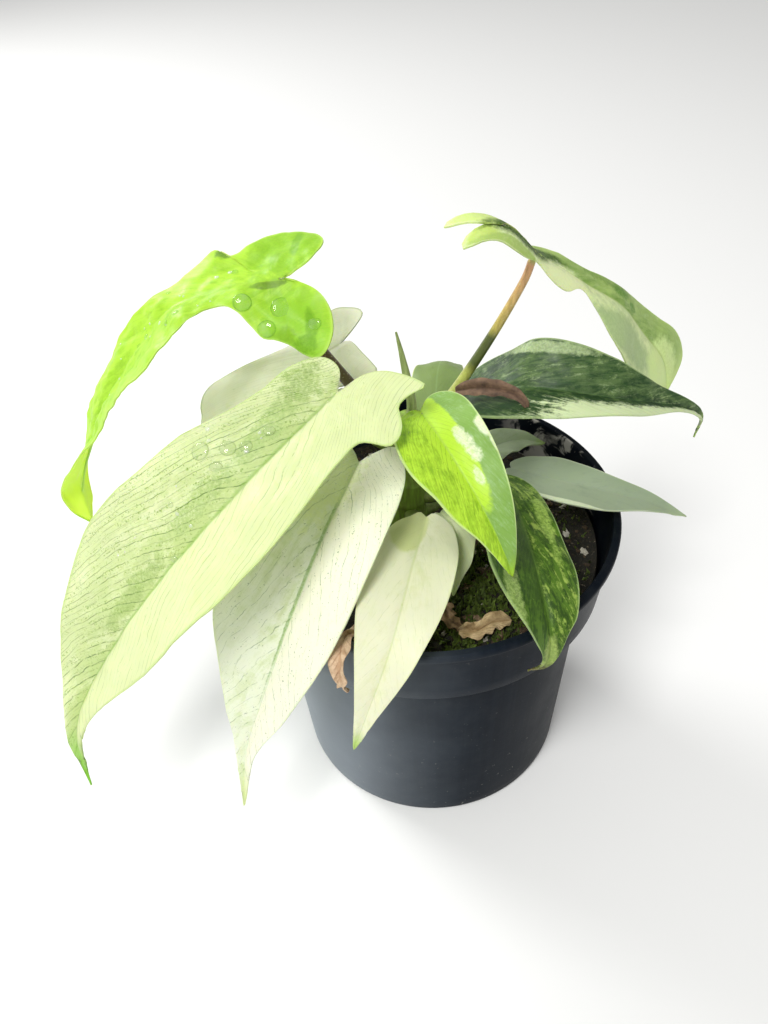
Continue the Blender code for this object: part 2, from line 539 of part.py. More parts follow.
def make_soil(collection, cutters):
    """Soil: a turned root ball whose top is raised by a formula, with chips and the stem's hole."""
    inset = GAP + 0.3
    profile = [(0.0, SOIL_TOP)] + [(radius, SOIL_TOP) for radius in SOIL_RINGS]
    profile += [(inner_wall(SOIL_TOP) - inset, SOIL_TOP)]
    profile += [(radius - inset, height + GAP) for radius, height in INNER_WALL]
    profile += [(INNER_WALL[-1][0] - FLOOR_CORNER - inset, FLOOR + GAP), (0.0, FLOOR + GAP)]
    material = make_material("soil_mix", (0.07, 0.06, 0.04), 0.95)
    soil = bake(turned("soil", profile, SOIL_SIDES, collection, material))
    for vertex in soil.data.vertices:
        radius = math.hypot(vertex.co.x, vertex.co.y) / MM
        if vertex.co.z > (SOIL_TOP - 0.1) * MM:
            fade = 0.35 if radius > SOIL_RINGS[-1] + 0.5 else 1.0
            vertex.co.z += fade * soil_rise(vertex.co.x / MM, vertex.co.y / MM) * MM
    boolean(soil, chip_cluster(cutters), "UNION")
    hole = add_object("stem_hole_cutter", stem_hole_mesh(), cutters)
    boolean(soil, hole, "DIFFERENCE")
    return soil


def chip_cluster(cutters):
    """Bark chips and pumice, sunk in the soil's top."""
    random.seed(SEED)
    work = bmesh.new()
    placed = []
    while len(placed) < CHIPS:
        turn = random.uniform(0, 2 * math.pi)
        reach = random.uniform(14.0, 50.0)
        x, y = reach * math.cos(turn), reach * math.sin(turn)
        on_moss = math.hypot(x - MOSS_CENTRE[0], y - MOSS_CENTRE[1]) < MOSS_RADIUS - 4
        if on_moss or any(math.hypot(x - a, y - b) < 10 for a, b in placed):
            continue
        placed.append((x, y))
        made = bmesh.ops.create_icosphere(work, subdivisions=1, radius=1.0)["verts"]
        size = Vector((random.uniform(3.0, 4.5), random.uniform(2.0, 3.0), random.uniform(1.2, 1.9)))
        spin = random.uniform(0, math.pi)
        for vertex in made:
            a, b = vertex.co.x * size.x, vertex.co.y * size.y
            vertex.co = Vector((x + a * math.cos(spin) - b * math.sin(spin),
                                y + a * math.sin(spin) + b * math.cos(spin),
                                SOIL_TOP + soil_rise(x, y) + 0.2 + vertex.co.z * size.z)) * MM
    mesh = bpy.data.meshes.new("chip_cutter")
    work.to_mesh(mesh)
    work.free()
    return add_object("chip_cutter", mesh, cutters)


def stem_hole_mesh():
    """The plain round hole that the stem stands in, a little wider than the stem."""
    work = bmesh.new()
    bmesh.ops.create_cone(work, cap_ends=True, segments=STEM_SIDES, radius1=STEM_RADII[0] + 0.6,
                          radius2=STEM_RADII[0] + 0.6, depth=20.0)
    for vertex in work.verts:
        vertex.co = (vertex.co + Vector((-6.5, 2.0, STEM_ROUTE[0][2] - GAP + 10.0))) * MM
    mesh = bpy.data.meshes.new("stem_hole_cutter")
    work.to_mesh(mesh)
    work.free()
    return mesh


def make_stem(collection):
    """The stem: a short, thick tube that narrows to its top."""
    route, _ = smooth_curve(STEM_ROUTE, 11)
    heights = [point[2] for point in STEM_ROUTE]
    radii = np.interp(route[:, 2], heights, STEM_RADII)
    material = make_material("stem_green", (0.3, 0.42, 0.12), 0.5)
    return tube("stem", route, radii, STEM_SIDES, collection, material)


def make_leaf(name, spec, collection):
    """One leaf: its blade, and its stalk with the rib."""
    colour = spec["colour"]
    blade_material = make_material(name + "_green", colour, 0.45)
    stalk_material = make_material(name + "_stalk_green", (0.26, 0.3, 0.1), 0.45)
    columns = 4 if spec["rows"] > 20 else 3
    blade_object(name + "_blade", spec, columns, collection, blade_material)
    stalk_object(name + "_petiole", Blade(spec), spec["stalk"], collection, stalk_material)


def main():
    """Build the plant, piece by piece."""
    clear_scene()
    parts = make_collection("florida_ghost_philodendron")
    cutters = make_collection("cutters")
    make_pot(parts, cutters)
    make_stem(parts)
    make_soil(parts, cutters)
    for name, spec in LEAVES.items():
        make_leaf(name, spec, parts)
    for name, spec in SCRAPS.items():
        blade_object(name, spec, 2, parts, make_material(name + "_brown", spec["colour"], 0.8))
    spike_route, _ = smooth_curve(SPIKE_ROUTE, 7)
    spike_radii = np.interp(np.linspace(0, 1, 7), np.linspace(0, 1, len(SPIKE_RADII)), SPIKE_RADII)
    tube("new_leaf_spike", spike_route, spike_radii, 8, parts,
         make_material("spike_green", (0.6, 0.72, 0.36), 0.4))


main()
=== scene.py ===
# %% [markdown]
# A young florida ghost philodendron in a 12 cm nursery pot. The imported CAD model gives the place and
# size of every stalk, leaf and pot wall. This script keeps those forms and replaces them with finer
# pieces: leaf blades with sunken veins and waved margins, stalks that swell where they meet the stem,
# mossy soil with bark and pumice, and a moulded plastic pot. All sizes are written in millimetres.

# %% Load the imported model
import json
import math
import random

import bpy
import numpy as np
from mathutils import Matrix, Vector, noise

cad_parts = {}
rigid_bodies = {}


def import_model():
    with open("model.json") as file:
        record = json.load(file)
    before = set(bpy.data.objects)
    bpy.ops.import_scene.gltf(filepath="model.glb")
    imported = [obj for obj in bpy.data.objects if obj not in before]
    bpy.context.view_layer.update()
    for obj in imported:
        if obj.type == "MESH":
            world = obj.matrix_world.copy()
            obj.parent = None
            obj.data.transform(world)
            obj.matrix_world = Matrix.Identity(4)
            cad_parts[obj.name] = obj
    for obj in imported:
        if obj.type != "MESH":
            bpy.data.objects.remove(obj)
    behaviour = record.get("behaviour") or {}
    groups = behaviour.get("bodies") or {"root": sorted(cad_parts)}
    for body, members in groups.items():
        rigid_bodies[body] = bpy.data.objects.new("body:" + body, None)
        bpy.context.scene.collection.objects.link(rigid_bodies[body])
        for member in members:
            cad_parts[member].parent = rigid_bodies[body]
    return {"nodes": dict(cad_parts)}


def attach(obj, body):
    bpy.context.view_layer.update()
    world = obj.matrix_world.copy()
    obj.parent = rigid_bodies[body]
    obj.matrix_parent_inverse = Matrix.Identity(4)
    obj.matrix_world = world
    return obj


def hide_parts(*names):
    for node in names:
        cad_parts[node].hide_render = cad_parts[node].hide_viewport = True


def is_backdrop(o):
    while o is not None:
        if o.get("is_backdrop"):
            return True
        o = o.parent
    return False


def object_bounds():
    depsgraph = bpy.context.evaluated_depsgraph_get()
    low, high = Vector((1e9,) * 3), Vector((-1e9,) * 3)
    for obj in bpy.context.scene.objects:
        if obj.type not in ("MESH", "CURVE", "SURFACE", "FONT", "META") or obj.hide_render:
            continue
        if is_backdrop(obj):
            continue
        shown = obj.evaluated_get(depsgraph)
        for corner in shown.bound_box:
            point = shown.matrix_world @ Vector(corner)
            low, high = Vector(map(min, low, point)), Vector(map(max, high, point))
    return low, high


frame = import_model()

MM = 0.001
CAD_BOX = [list(corner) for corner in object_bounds()]
random.seed(7)
print("CAD nodes:", len(frame["nodes"]), "box:", [round(value, 3) for value in CAD_BOX[0] + CAD_BOX[1]])

# %% [markdown]
# Blender's operators work on whatever is selected, so each step first selects only its own piece. A
# finished piece keeps its object at the origin with its place in the mesh, rides on the plant's one
# body and hides the CAD solids it stands for.

# %% Helpers for making and finishing a piece
def select_only(piece):
    """Select one object and make it the active one."""
    bpy.ops.object.select_all(action="DESELECT")
    piece.select_set(True)
    bpy.context.view_layer.objects.active = piece


def add(operator, **settings):
    """Deselect all, run an operator that adds an object, and return the new object."""
    bpy.ops.object.select_all(action="DESELECT")
    operator(**settings)
    return bpy.context.object


def apply_modifiers(piece):
    """Apply every modifier of a piece, in order."""
    select_only(piece)
    for modifier in list(piece.modifiers):
        bpy.ops.object.modifier_apply(modifier=modifier.name)


def tidy_mesh(piece, distance=0.01):
    """Merge vertices closer than a distance in mm and turn the faces outwards."""
    select_only(piece)
    bpy.ops.object.mode_set(mode="EDIT")
    bpy.ops.mesh.select_all(action="SELECT")
    bpy.ops.mesh.remove_doubles(threshold=distance * MM)
    bpy.ops.mesh.normals_make_consistent(inside=False)
    bpy.ops.object.mode_set(mode="OBJECT")


def corners(piece):
    """The places of a piece's vertices, one row each."""
    return np.array([vertex.co[:] for vertex in piece.data.vertices])


def store(piece, name, values):
    """Store a number or a vector on each vertex, under a name that a material can read."""
    kind, field = ("FLOAT", "value") if np.ndim(values) == 1 else ("FLOAT_VECTOR", "vector")
    piece.data.attributes.new(name, kind, "POINT").data.foreach_set(field, np.ravel(values))


def finish_piece(piece, name, materials, stands_for=(), crease=60):
    """Name, smooth and paint a piece, and fix it to the plant."""
    select_only(piece)
    bpy.ops.object.transform_apply(location=True, rotation=True, scale=True)
    if crease:
        bpy.ops.object.shade_smooth_by_angle(angle=math.radians(crease))
    piece.name = name
    piece.data.name = name
    while len(piece.data.materials) < len(materials):
        piece.data.materials.append(None)
    for index, material in enumerate(materials):
        piece.data.materials[index] = material
    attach(piece, "root")
    if stands_for:
        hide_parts(*stands_for)


# %% [markdown]
# A material is a net of small nodes, joined from outputs to inputs. Written node by node it is long and
# hard to read, so here every output is wrapped as a Value that can stand in a formula, and each sign of
# the formula adds one Math node. Colours are written as the usual six-digit codes, and shader nodes
# expect linear values, so a small helper converts them.

# %% Helpers for shader nodes
class Value:
    """A node's output, for use in formulas."""

    def __init__(self, socket):
        self.socket = socket
        self.tree = socket.id_data

    def __add__(self, other):
        return maths("ADD", self, other)

    def __sub__(self, other):
        return maths("SUBTRACT", self, other)

    def __rsub__(self, other):
        return maths("SUBTRACT", other, self)

    def __mul__(self, other):
        return maths("MULTIPLY", self, other)

    def __truediv__(self, other):
        return maths("DIVIDE", self, other)

    def __abs__(self):
        return maths("ABSOLUTE", self)


def colour(code):
    """A six-digit colour code as the four linear values that a socket takes."""
    parts = [int(code[k:k + 2], 16) / 255 for k in (1, 3, 5)]
    linear = [part / 12.92 if part <= 0.04045 else ((part + 0.055) / 1.055)**2.4 for part in parts]
    return (*linear, 1.0)


def feed(socket, value):
    """Link an input to a value, or set it to a plain number, vector or colour code."""
    if isinstance(value, Value):
        value.tree.links.new(value.socket, socket)
    else:
        socket.default_value = colour(value) if isinstance(value, str) else value


def add_node(kind, inputs=(), output=0, tree=None, **settings):
    """Add a node, feed its inputs by number or name, and return one output. The tree is that of the
    inputs, where none is given."""
    inputs = inputs if isinstance(inputs, dict) else dict(enumerate(inputs))
    if tree is None:
        tree = next(value.tree for value in inputs.values() if isinstance(value, Value))
    node = tree.nodes.new("ShaderNode" + kind)
    for name, setting in settings.items():
        setattr(node, name, setting)
    for key, value in inputs.items():
        feed(node.inputs[key], value)
    return Value(node.outputs[output])


def maths(operation, *values):
    """One Math node."""
    return add_node("Math", values, operation=operation)


def span(value, low, high, to_low=0.0, to_high=1.0):
    """Map a value's range to another, held at both ends."""
    return add_node("MapRange", (value, low, high, to_low, to_high))


def mixed(factor, a, b):
    """Mix two colours, each a value or a code."""
    return add_node("Mix", {0: factor, 6: a, 7: b}, 2, data_type="RGBA")


def cloud(place, scale, detail=3.0, roughness=0.5, distortion=0.0):
    """A noise pattern, from 0 to 1."""
    return add_node("TexNoise", dict(Vector=place, Scale=scale, Detail=detail, Roughness=roughness,
                                     Distortion=distortion), "Fac")


def joined(x, y, z=0.0):
    """Three numbers as one vector."""
    return add_node("CombineXYZ", (x, y, z))


def parts(vector):
    """The three numbers of a vector."""
    return [Value(socket) for socket in add_node("SeparateXYZ", (vector,)).socket.node.outputs]


def stored(tree, name, output="Fac"):
    """A number or vector that the piece stores on its vertices."""
    return add_node("Attribute", (), output, tree, attribute_name=name)


def own_place(material):
    """The point's own coordinates."""
    return add_node("TexCoord", (), "Object", material.node_tree)


def streaks_up(place, scale, squeeze, low, high):
    """Fine streaks that run upwards: noise drawn out in height."""
    drawn = add_node("Mapping", {"Vector": place, "Scale": (1.0, 1.0, squeeze)})
    return span(cloud(drawn, scale, 4.0, 0.6), low, high)


def paint(material, **values):
    """Feed sockets of a material's Principled shader. An underscore stands for a space."""
    for name, value in values.items():
        feed(material.node_tree.nodes["Principled BSDF"].inputs[name.replace("_", " ")], value)


def add_bump(material, height, distance, strength):
    """Feed a height pattern to a material's normal. The distance is in mm."""
    paint(material, Normal=add_node("Bump", dict(Strength=strength, Distance=distance * MM, Height=height)))


def new_material(name, roughness, **settings):
    """A material with its Principled shader set."""
    material = bpy.data.materials.new(name)
    material.use_nodes = True
    paint(material, Roughness=roughness, **settings)
    return material


# %% [markdown]
# A node group is a pattern that is built once and used in many materials. The first draws leaf veins.
# Each blade stores three numbers on its vertices: across and along, measured on the flat leaf, and the
# vein mark, which is the same all along one side vein. So a line of equal vein mark is a vein. It is
# broken into dashes by noise that is stretched along it, as the real veins of this leaf are.

# %% Node group for leaf veins
def make_group(name, inputs, outputs, drawing):
    """A node group. Its drawing function turns its inputs, in their order, into its outputs."""
    group = bpy.data.node_groups.new(name, "ShaderNodeTree")
    for way, labels in (("INPUT", inputs), ("OUTPUT", outputs)):
        for label in labels:
            kind = "NodeSocketVector" if label == "Place" else "NodeSocketFloat"
            group.interface.new_socket(label, in_out=way, socket_type=kind)
    start = group.nodes.new("NodeGroupInput")
    end = group.nodes.new("NodeGroupOutput")
    for socket, value in zip(end.inputs, drawing(*[Value(entry) for entry in start.outputs[:len(inputs)]])):
        feed(socket, value)
    print(name, "has", len(group.nodes), "nodes")
    return group


def use_group(group, **inputs):
    """Put a group in a material, with its inputs set, and return its outputs by name."""
    node = add_node("Group", inputs, node_tree=group).socket.node
    return {socket.name: Value(socket) for socket in node.outputs}


def dashed_lines(mark, across, wander, count, width, gaps, seed):
    """Lines of equal mark, broken into dashes."""
    turns = mark * count + wander
    line = span(abs(maths("FRACT", turns) - 0.5) * 2.0, 0.0, width, 1.0, 0.0)
    dashes = cloud(joined(turns * 1.3, across * 95.0, seed), 1.0, 4.0, 0.7)
    cut = span(dashes, gaps - 0.06, gaps + 0.06)
    fading = cloud(joined(turns * 0.8, across * 14.0, seed + 4.0), 1.0, 2.0)
    return line * cut * span(fading, 0.38, 0.56, 0.35, 1.0)


def vein_lines(vein, across, place, count, width, gaps):
    """Main: the side veins. Fine: dotted veins between them."""
    wander = cloud(place, 420.0) * 0.22 + cloud(place, 50.0) * 2.4
    main = dashed_lines(vein, across, wander, count, width, gaps, 3.0)
    fine = dashed_lines(vein, across, wander * 1.7, count * 2.7, width * 1.9, gaps + 0.07, 8.0)
    return main, fine


VEINS = make_group("leaf_veins", ("Vein", "Across", "Place", "Count", "Width", "Gaps"), ("Main", "Fine"),
                   vein_lines)

# %% [markdown]
# The second group draws variegation: sectors of tissue with more or less green in them. On the real leaf
# they run out from the midrib along the veins in ragged streaks, so the noise is drawn out along the
# veins and cut at a level. Cover says how much of the leaf is taken, from 0 to 1. The third group
# scatters speckles, which are single green cells or small groups of them. The fourth draws one oval
# sector with a torn edge, for a mark that has its own place on a leaf: a white blot, or on some leaves
# painted shade, a painted shadow, painted sunlight or a painted highlight.

# %% Node groups for marbling, speckles and single marks
def marbling(vein, across, place, seed, cover, softness, fineness):
    """Mask: ragged clouds, drawn out along the veins."""
    drawn = joined(vein * (fineness * 13.0), across * (fineness * 32.0), seed)
    pattern = cloud(drawn, 1.0, 9.0, 0.7, 1.2) * 0.6 + cloud(place, 240.0, 7.0, 0.75) * 0.4
    level = cover * -0.36 + 0.68
    return [span(pattern, level - softness, level + softness)]


def speckles(vein, across, place, cover):
    """Mask: fine speckles, gathered in loose clusters."""
    loose = cloud(joined(vein * 60.0, across * 30.0, 5.0), 1.0, 4.0, 0.6)
    level = cover * -0.3 + 0.72
    return [span(cloud(place, 1700.0, 2.0, 0.6) * 0.6 + loose * 0.4, level, level + 0.05)]


def patch(along, across, place, mid_along, mid_across, long, wide, ragged, softness):
    """Mask: one oval sector with a ragged edge, such as a white blot or painted shade in a fold."""
    down = (along - mid_along) / long
    aside = (across - mid_across) / wide
    torn = cloud(place, 330.0, 6.0, 0.7) - 0.5
    edge = torn * (ragged * 3.0) + maths("SQRT", down * down + aside * aside)
    return [span(edge, 1.0 - softness, softness + 1.0, 1.0, 0.0)]


OVAL = ("MidAlong", "MidAcross", "Long", "Wide")
MARBLING = make_group("leaf_marbling", ("Vein", "Across", "Place", "Seed", "Cover", "Softness", "Fineness"),
                      ("Mask",), marbling)
SPECKLES = make_group("leaf_speckles", ("Vein", "Across", "Place", "Cover"), ("Mask",), speckles)
PATCH = make_group("leaf_patch", ("Along", "Across", "Place", *OVAL, "Ragged", "Softness"), ("Mask",),
                   patch)

# %% [markdown]
# A leaf is drawn flat first, as on paper: two half outlines on either side of a straight midrib. Then it
# is bent in space along its midrib, with each half lifted or dropped by its own fold. The same values
# shaped the CAD solids, so each fine blade lies where its solid does. Only the tall right leaf's outline
# was drawn again here. Spine points are the midrib from the notch to the tip, in mm, and faces say which
# way the upper side looks. The left and right outlines are (along, across) in thousandths of the
# midrib's length. A fold row is (along, left lift, right lift), the lifts in degrees. A stalk leaves the
# stem at a height and heading, and runs through its points.

# %% Forms of the leaves
LEAVES = {
    "lime_leaf": dict(
        spine=((-37, 7, 180), (-66, 10, 172), (-88, 11, 150), (-105, 9, 124), (-112, 8, 109),
            (-111, 5, 95)),
        faces=((-0.05, -0.1, 1), (-0.4, -0.3, 0.7), (-0.7, -0.25, 0.5), (-0.75, 0.5, 0.2)),
        left=((-44, 20), (-84, 52), (-101, 92), (-99, 134), (-81, 169), (-56, 183), (-28, 172), (0, 146),
            (25, 130), (47, 124), (70, 95), (96, 66), (125, 49), (155, 47), (194, 62), (235, 86),
            (300, 115), (380, 130), (490, 110), (610, 65), (720, 60), (830, 70), (930, 45)),
        right=((-15, 7), (-45, 20), (-76, 46), (-91, 85), (-75, 120), (-41, 143), (9, 156), (54, 143),
            (85, 116), (108, 94), (125, 89), (141, 98), (156, 113), (168, 114), (179, 100), (197, 86),
            (226, 72), (263, 63), (330, 64), (450, 80), (600, 70), (750, 75), (870, 70), (950, 35)),
        fold=((0, -45, 5), (0.25, 10, 10), (1, 15, 15)),
        stalk=dict(height=126, heading=135, radius=2.0, through=((-15, 12, 132), (-26, 16, 146),
            (-34, 13.5, 162), (-36.6, 9.5, 173)))),
    "big_mint_leaf": dict(
        spine=((-22, -17, 160), (-48, -41, 146), (-76, -46, 115), (-100, -48, 81), (-109, -55, 63),
            (-107, -63, 46)),
        faces=((0.1, -0.25, 1), (-0.25, -0.45, 0.8), (-0.6, -0.7, 0.35)),
        left=((-42, 12), (-66, 34), (-80, 64), (-87, 95), (-86, 114), (-67, 105), (-50, 100), (-36, 102),
            (-25, 116), (-10, 135), (10, 145), (31, 142), (41, 124), (50, 106), (65, 99), (100, 102),
            (140, 106), (220, 120), (340, 132), (480, 120), (620, 95), (760, 60), (880, 22)),
        right=((-30, 25), (-25, 60), (20, 85), (80, 90), (150, 105), (250, 138), (370, 160), (470, 172),
            (570, 165), (670, 130), (760, 85), (850, 35), (930, 12)),
        fold=((0, 12, 12), (1, 15, 15)),
        stalk=dict(height=127.5, heading=185, radius=2.0, through=((-15.5, 0.8, 131.5), (-19, -3, 143),
            (-21, -10, 154.5)))),
    "cream_back_leaf": dict(
        spine=((-26, 35, 142), (-41, 33, 134), (-56, 28, 126), (-69, 22, 116), (-78, 15, 102)),
        faces=((0.0, -0.3, 1), (-0.1, -0.3, 0.9), (-0.3, -0.3, 0.8)),
        left=((-50, 14), (-75, 85), (-95, 150), (-100, 190), (-60, 210), (40, 190), (200, 170),
            (400, 170), (600, 140), (800, 70), (920, 25)),
        right=((-50, 18), (-100, 40), (-145, 70), (-148, 100), (-110, 136), (-40, 170), (50, 155),
            (200, 130), (290, 136), (360, 147), (450, 169), (540, 192), (600, 202), (650, 190),
            (690, 155), (720, 110), (800, 60), (920, 25)),
        fold=((0, -25, 12), (0.25, 5, 12), (1, 15, 15)),
        stalk=dict(height=117, heading=112, radius=1.6, through=((-11, 15, 122), (-19, 27, 131),
            (-24.5, 34, 138.5)))),
    "white_front_leaf": dict(
        spine=((-19, -9, 130), (-27, -35, 127), (-38, -50, 107), (-49, -55, 79), (-57, -58, 56),
            (-60, -65, 36)),
        faces=((0.1, -0.3, 1), (-0.1, -0.5, 0.8), (-0.4, -0.8, 0.3)),
        left=((-25, 30), (-45, 60), (-30, 90), (50, 122), (160, 132), (320, 130), (480, 113), (620, 83),
            (760, 45), (900, 17)),
        right=((-25, 30), (-30, 65), (20, 105), (100, 128), (220, 145), (360, 160), (450, 163),
            (520, 148), (580, 129), (650, 102), (735, 66), (810, 32), (910, 11)),
        fold=((0, 20, 12), (0.45, 20, 12), (1, 15, 15)),
        stalk=dict(height=113, heading=205, radius=1.9, through=((-16, -4, 118), (-18.5, -6.5, 125)))),
    "cream_front_leaf": dict(
        spine=((0, -18, 116), (-4, -40, 119), (-10, -62, 111), (-17, -68, 91), (-22, -68.5, 74)),
        faces=((0.1, -0.3, 1), (0.05, -0.5, 0.8), (-0.1, -0.8, 0.5)),
        left=((-20, 25), (20, 70), (90, 108), (200, 132), (310, 138), (420, 122), (550, 90), (700, 52),
            (860, 22)),
        right=((-10, 25), (30, 52), (75, 88), (150, 110), (230, 120), (315, 129), (390, 134), (470, 128),
            (580, 100), (710, 64), (840, 32)),
        fold=((0, 10, 4), (0.5, 14, 4), (1, 15, 15)),
        stalk=dict(height=104, heading=285, radius=1.6, through=((-3, -10.5, 106.5), (-1.0, -15, 111)))),
    "centre_leaf": dict(
        spine=((-1, -13, 150), (5, -29, 151), (14, -43, 142), (19, -48, 132), (22, -49, 123)),
        faces=((-0.1, -0.3, 1), (0.1, -0.4, 0.8), (0.3, -0.7, 0.6)),
        left=((-40, 70), (0, 145), (100, 190), (250, 197), (400, 185), (550, 158), (700, 110), (850, 55)),
        right=((0, 50), (70, 130), (170, 195), (300, 222), (430, 215), (570, 170), (720, 100), (870, 40)),
        fold=((0, 20, 20), (1, 20, 20)),
        stalk=dict(height=128, heading=268, radius=1.7, through=((-3.6, -6.5, 134), (-2.4, -10, 142)))),
    "dark_drooping_leaf": dict(
        spine=((23, 1, 114), (26, -14, 116.5), (29, -38, 117), (31.5, -54, 110), (31.5, -57.5, 99),
            (27, -55, 91)),
        faces=((0.3, -0.2, 1), (0.4, -0.4, 0.8), (0.4, -0.8, 0.3)),
        left=((-10, 35), (50, 80), (150, 110), (300, 122), (460, 132), (600, 130), (710, 105), (790, 55),
            (900, 18)),
        right=((-10, 40), (60, 100), (180, 150), (320, 190), (440, 215), (530, 218), (575, 202),
            (620, 175), (665, 145), (715, 112), (760, 77), (820, 40), (900, 18)),
        fold=((0, 12, 12), (1, 15, 15)),
        stalk=dict(height=107, heading=350, radius=1.6, through=((7, 1, 108.5), (17, 2.5, 111)))),
    "grey_side_leaf": dict(
        spine=((28, 16, 105), (37, 7, 108.5), (49, -0.5, 110.5), (65, -6, 109.3), (78, -10, 106)),
        faces=((0.0, -0.3, 1), (0.1, -0.3, 0.9), (0.2, -0.3, 0.8)),
        left=((-20, 35), (70, 100), (240, 130), (420, 120), (600, 90), (800, 55)),
        right=((-10, 35), (100, 105), (260, 145), (420, 157), (560, 145), (720, 95), (880, 35)),
        fold=((0, 12, 12), (1, 15, 15)),
        stalk=dict(height=99, heading=15, radius=1.4, through=((8, 8, 100.0), (20, 14, 102.5)))),
    "pale_low_leaf": dict(
        spine=((10, 14, 103), (20, 24, 106), (31, 32, 104), (42, 36, 99)),
        faces=((0.0, -0.2, 1), (0.1, -0.2, 0.9), (0.2, -0.3, 0.8)),
        left=((0, 50), (100, 110), (300, 140), (500, 135), (700, 100), (880, 40)),
        right=((0, 50), (100, 120), (300, 160), (500, 155), (700, 110), (880, 45)),
        fold=((0, 12, 12), (1, 15, 15)),
        stalk=dict(height=97, heading=50, radius=1.2, through=((4.5, 10, 98.6),))),
    "dark_side_leaf": dict(
        spine=((14, 14, 137), (31, 2, 146), (54, 0, 143), (74, 8, 134), (84, 13, 126), (84, 14, 117)),
        faces=((0.0, -0.3, 1), (0.1, -0.4, 0.8), (0.5, -0.4, 0.7)),
        left=((-20, 50), (30, 95), (120, 135), (240, 155), (370, 148), (480, 122), (600, 80), (740, 40),
            (880, 15)),
        right=((-10, 60), (50, 130), (140, 185), (210, 180), (290, 137), (400, 105), (550, 68), (700, 38),
            (860, 18)),
        fold=((0, 20, 20), (1, 20, 20)),
        stalk=dict(height=121, heading=40, radius=1.8, through=((5, 11, 125), (10.5, 14.5, 131)))),
    "tall_right_leaf": dict(
        spine=((29.5, 7, 184.5), (44, 13, 172), (57, 20, 160.5), (67, 28, 146), (76, 33, 133),
            (80, 36, 119)),
        faces=((0.5, -0.1, 0.8), (0.6, -0.3, 0.7), (0.8, -0.5, 0.4)),
        left=((-60, 0.8), (-120, 0.8), (-180, 1), (-207, 5), (-222, 24), (-240, 47), (-254, 68),
            (-248, 84), (-228, 91), (-190, 90), (-130, 86), (-30, 83), (50, 73), (124, 58), (216, 54),
            (315, 62), (420, 66), (580, 80), (730, 100), (850, 125), (950, 110)),
        right=((-60, 0.8), (-120, 0.8), (-180, 1), (-210, 3), (-230, 10), (-239, 27), (-237, 45),
            (-222, 50), (-195, 48), (-160, 52), (-120, 62), (-80, 61), (-40, 52), (-10, 38), (15, 36),
            (50, 52), (90, 64), (130, 66), (160, 58), (185, 38), (215, 26), (245, 30), (306, 66),
            (377, 115), (443, 143), (530, 165), (640, 170), (760, 152), (870, 112), (950, 55)),
        fold=((0, -25, -20), (0.12, 5, -20), (0.3, 10, -20), (1, 15, -10)), lobes=(13, 52, 62),
        stalk=dict(height=131, heading=15, radius=1.65, through=((4, 4.6, 136), (11, 5, 147),
            (20, 8, 161), (27, 8, 175.5)))),
    "small_back_leaf": dict(
        spine=((2, 12, 112), (3.5, 24, 123), (5, 38, 129.5), (7.5, 51, 124), (10, 61, 111)),
        faces=((0.0, -0.3, 1), (0, 0, 1), (0, 0.5, 0.8)),
        left=((-20, 40), (60, 90), (200, 125), (400, 140), (600, 125), (780, 80), (900, 35)),
        right=((-20, 40), (60, 90), (200, 130), (400, 145), (600, 130), (780, 85), (900, 35)),
        fold=((0, 10, 10), (0.3, -12, -12), (1, -15, -15)),
        stalk=dict(height=105, heading=72, radius=1.4, through=((-1.5, 10.5, 107),))),
    "small_cream_leaf": dict(
        spine=((4, -9, 109), (8, -19, 112), (9, -29, 110), (7, -38, 104)),
        faces=((0.0, -0.3, 1), (0, -0.4, 0.8), (0, -0.8, 0.6)),
        left=((-10, 40), (60, 100), (200, 150), (400, 170), (600, 140), (800, 70), (910, 30)),
        right=((-10, 40), (60, 100), (200, 150), (400, 170), (600, 140), (800, 70), (910, 30)),
        fold=((0, 12, 12), (1, 15, 15)),
        stalk=dict(height=98, heading=312, radius=1.2, through=((0.6, -5.5, 101.5), (3, -8, 105.5)))),
}

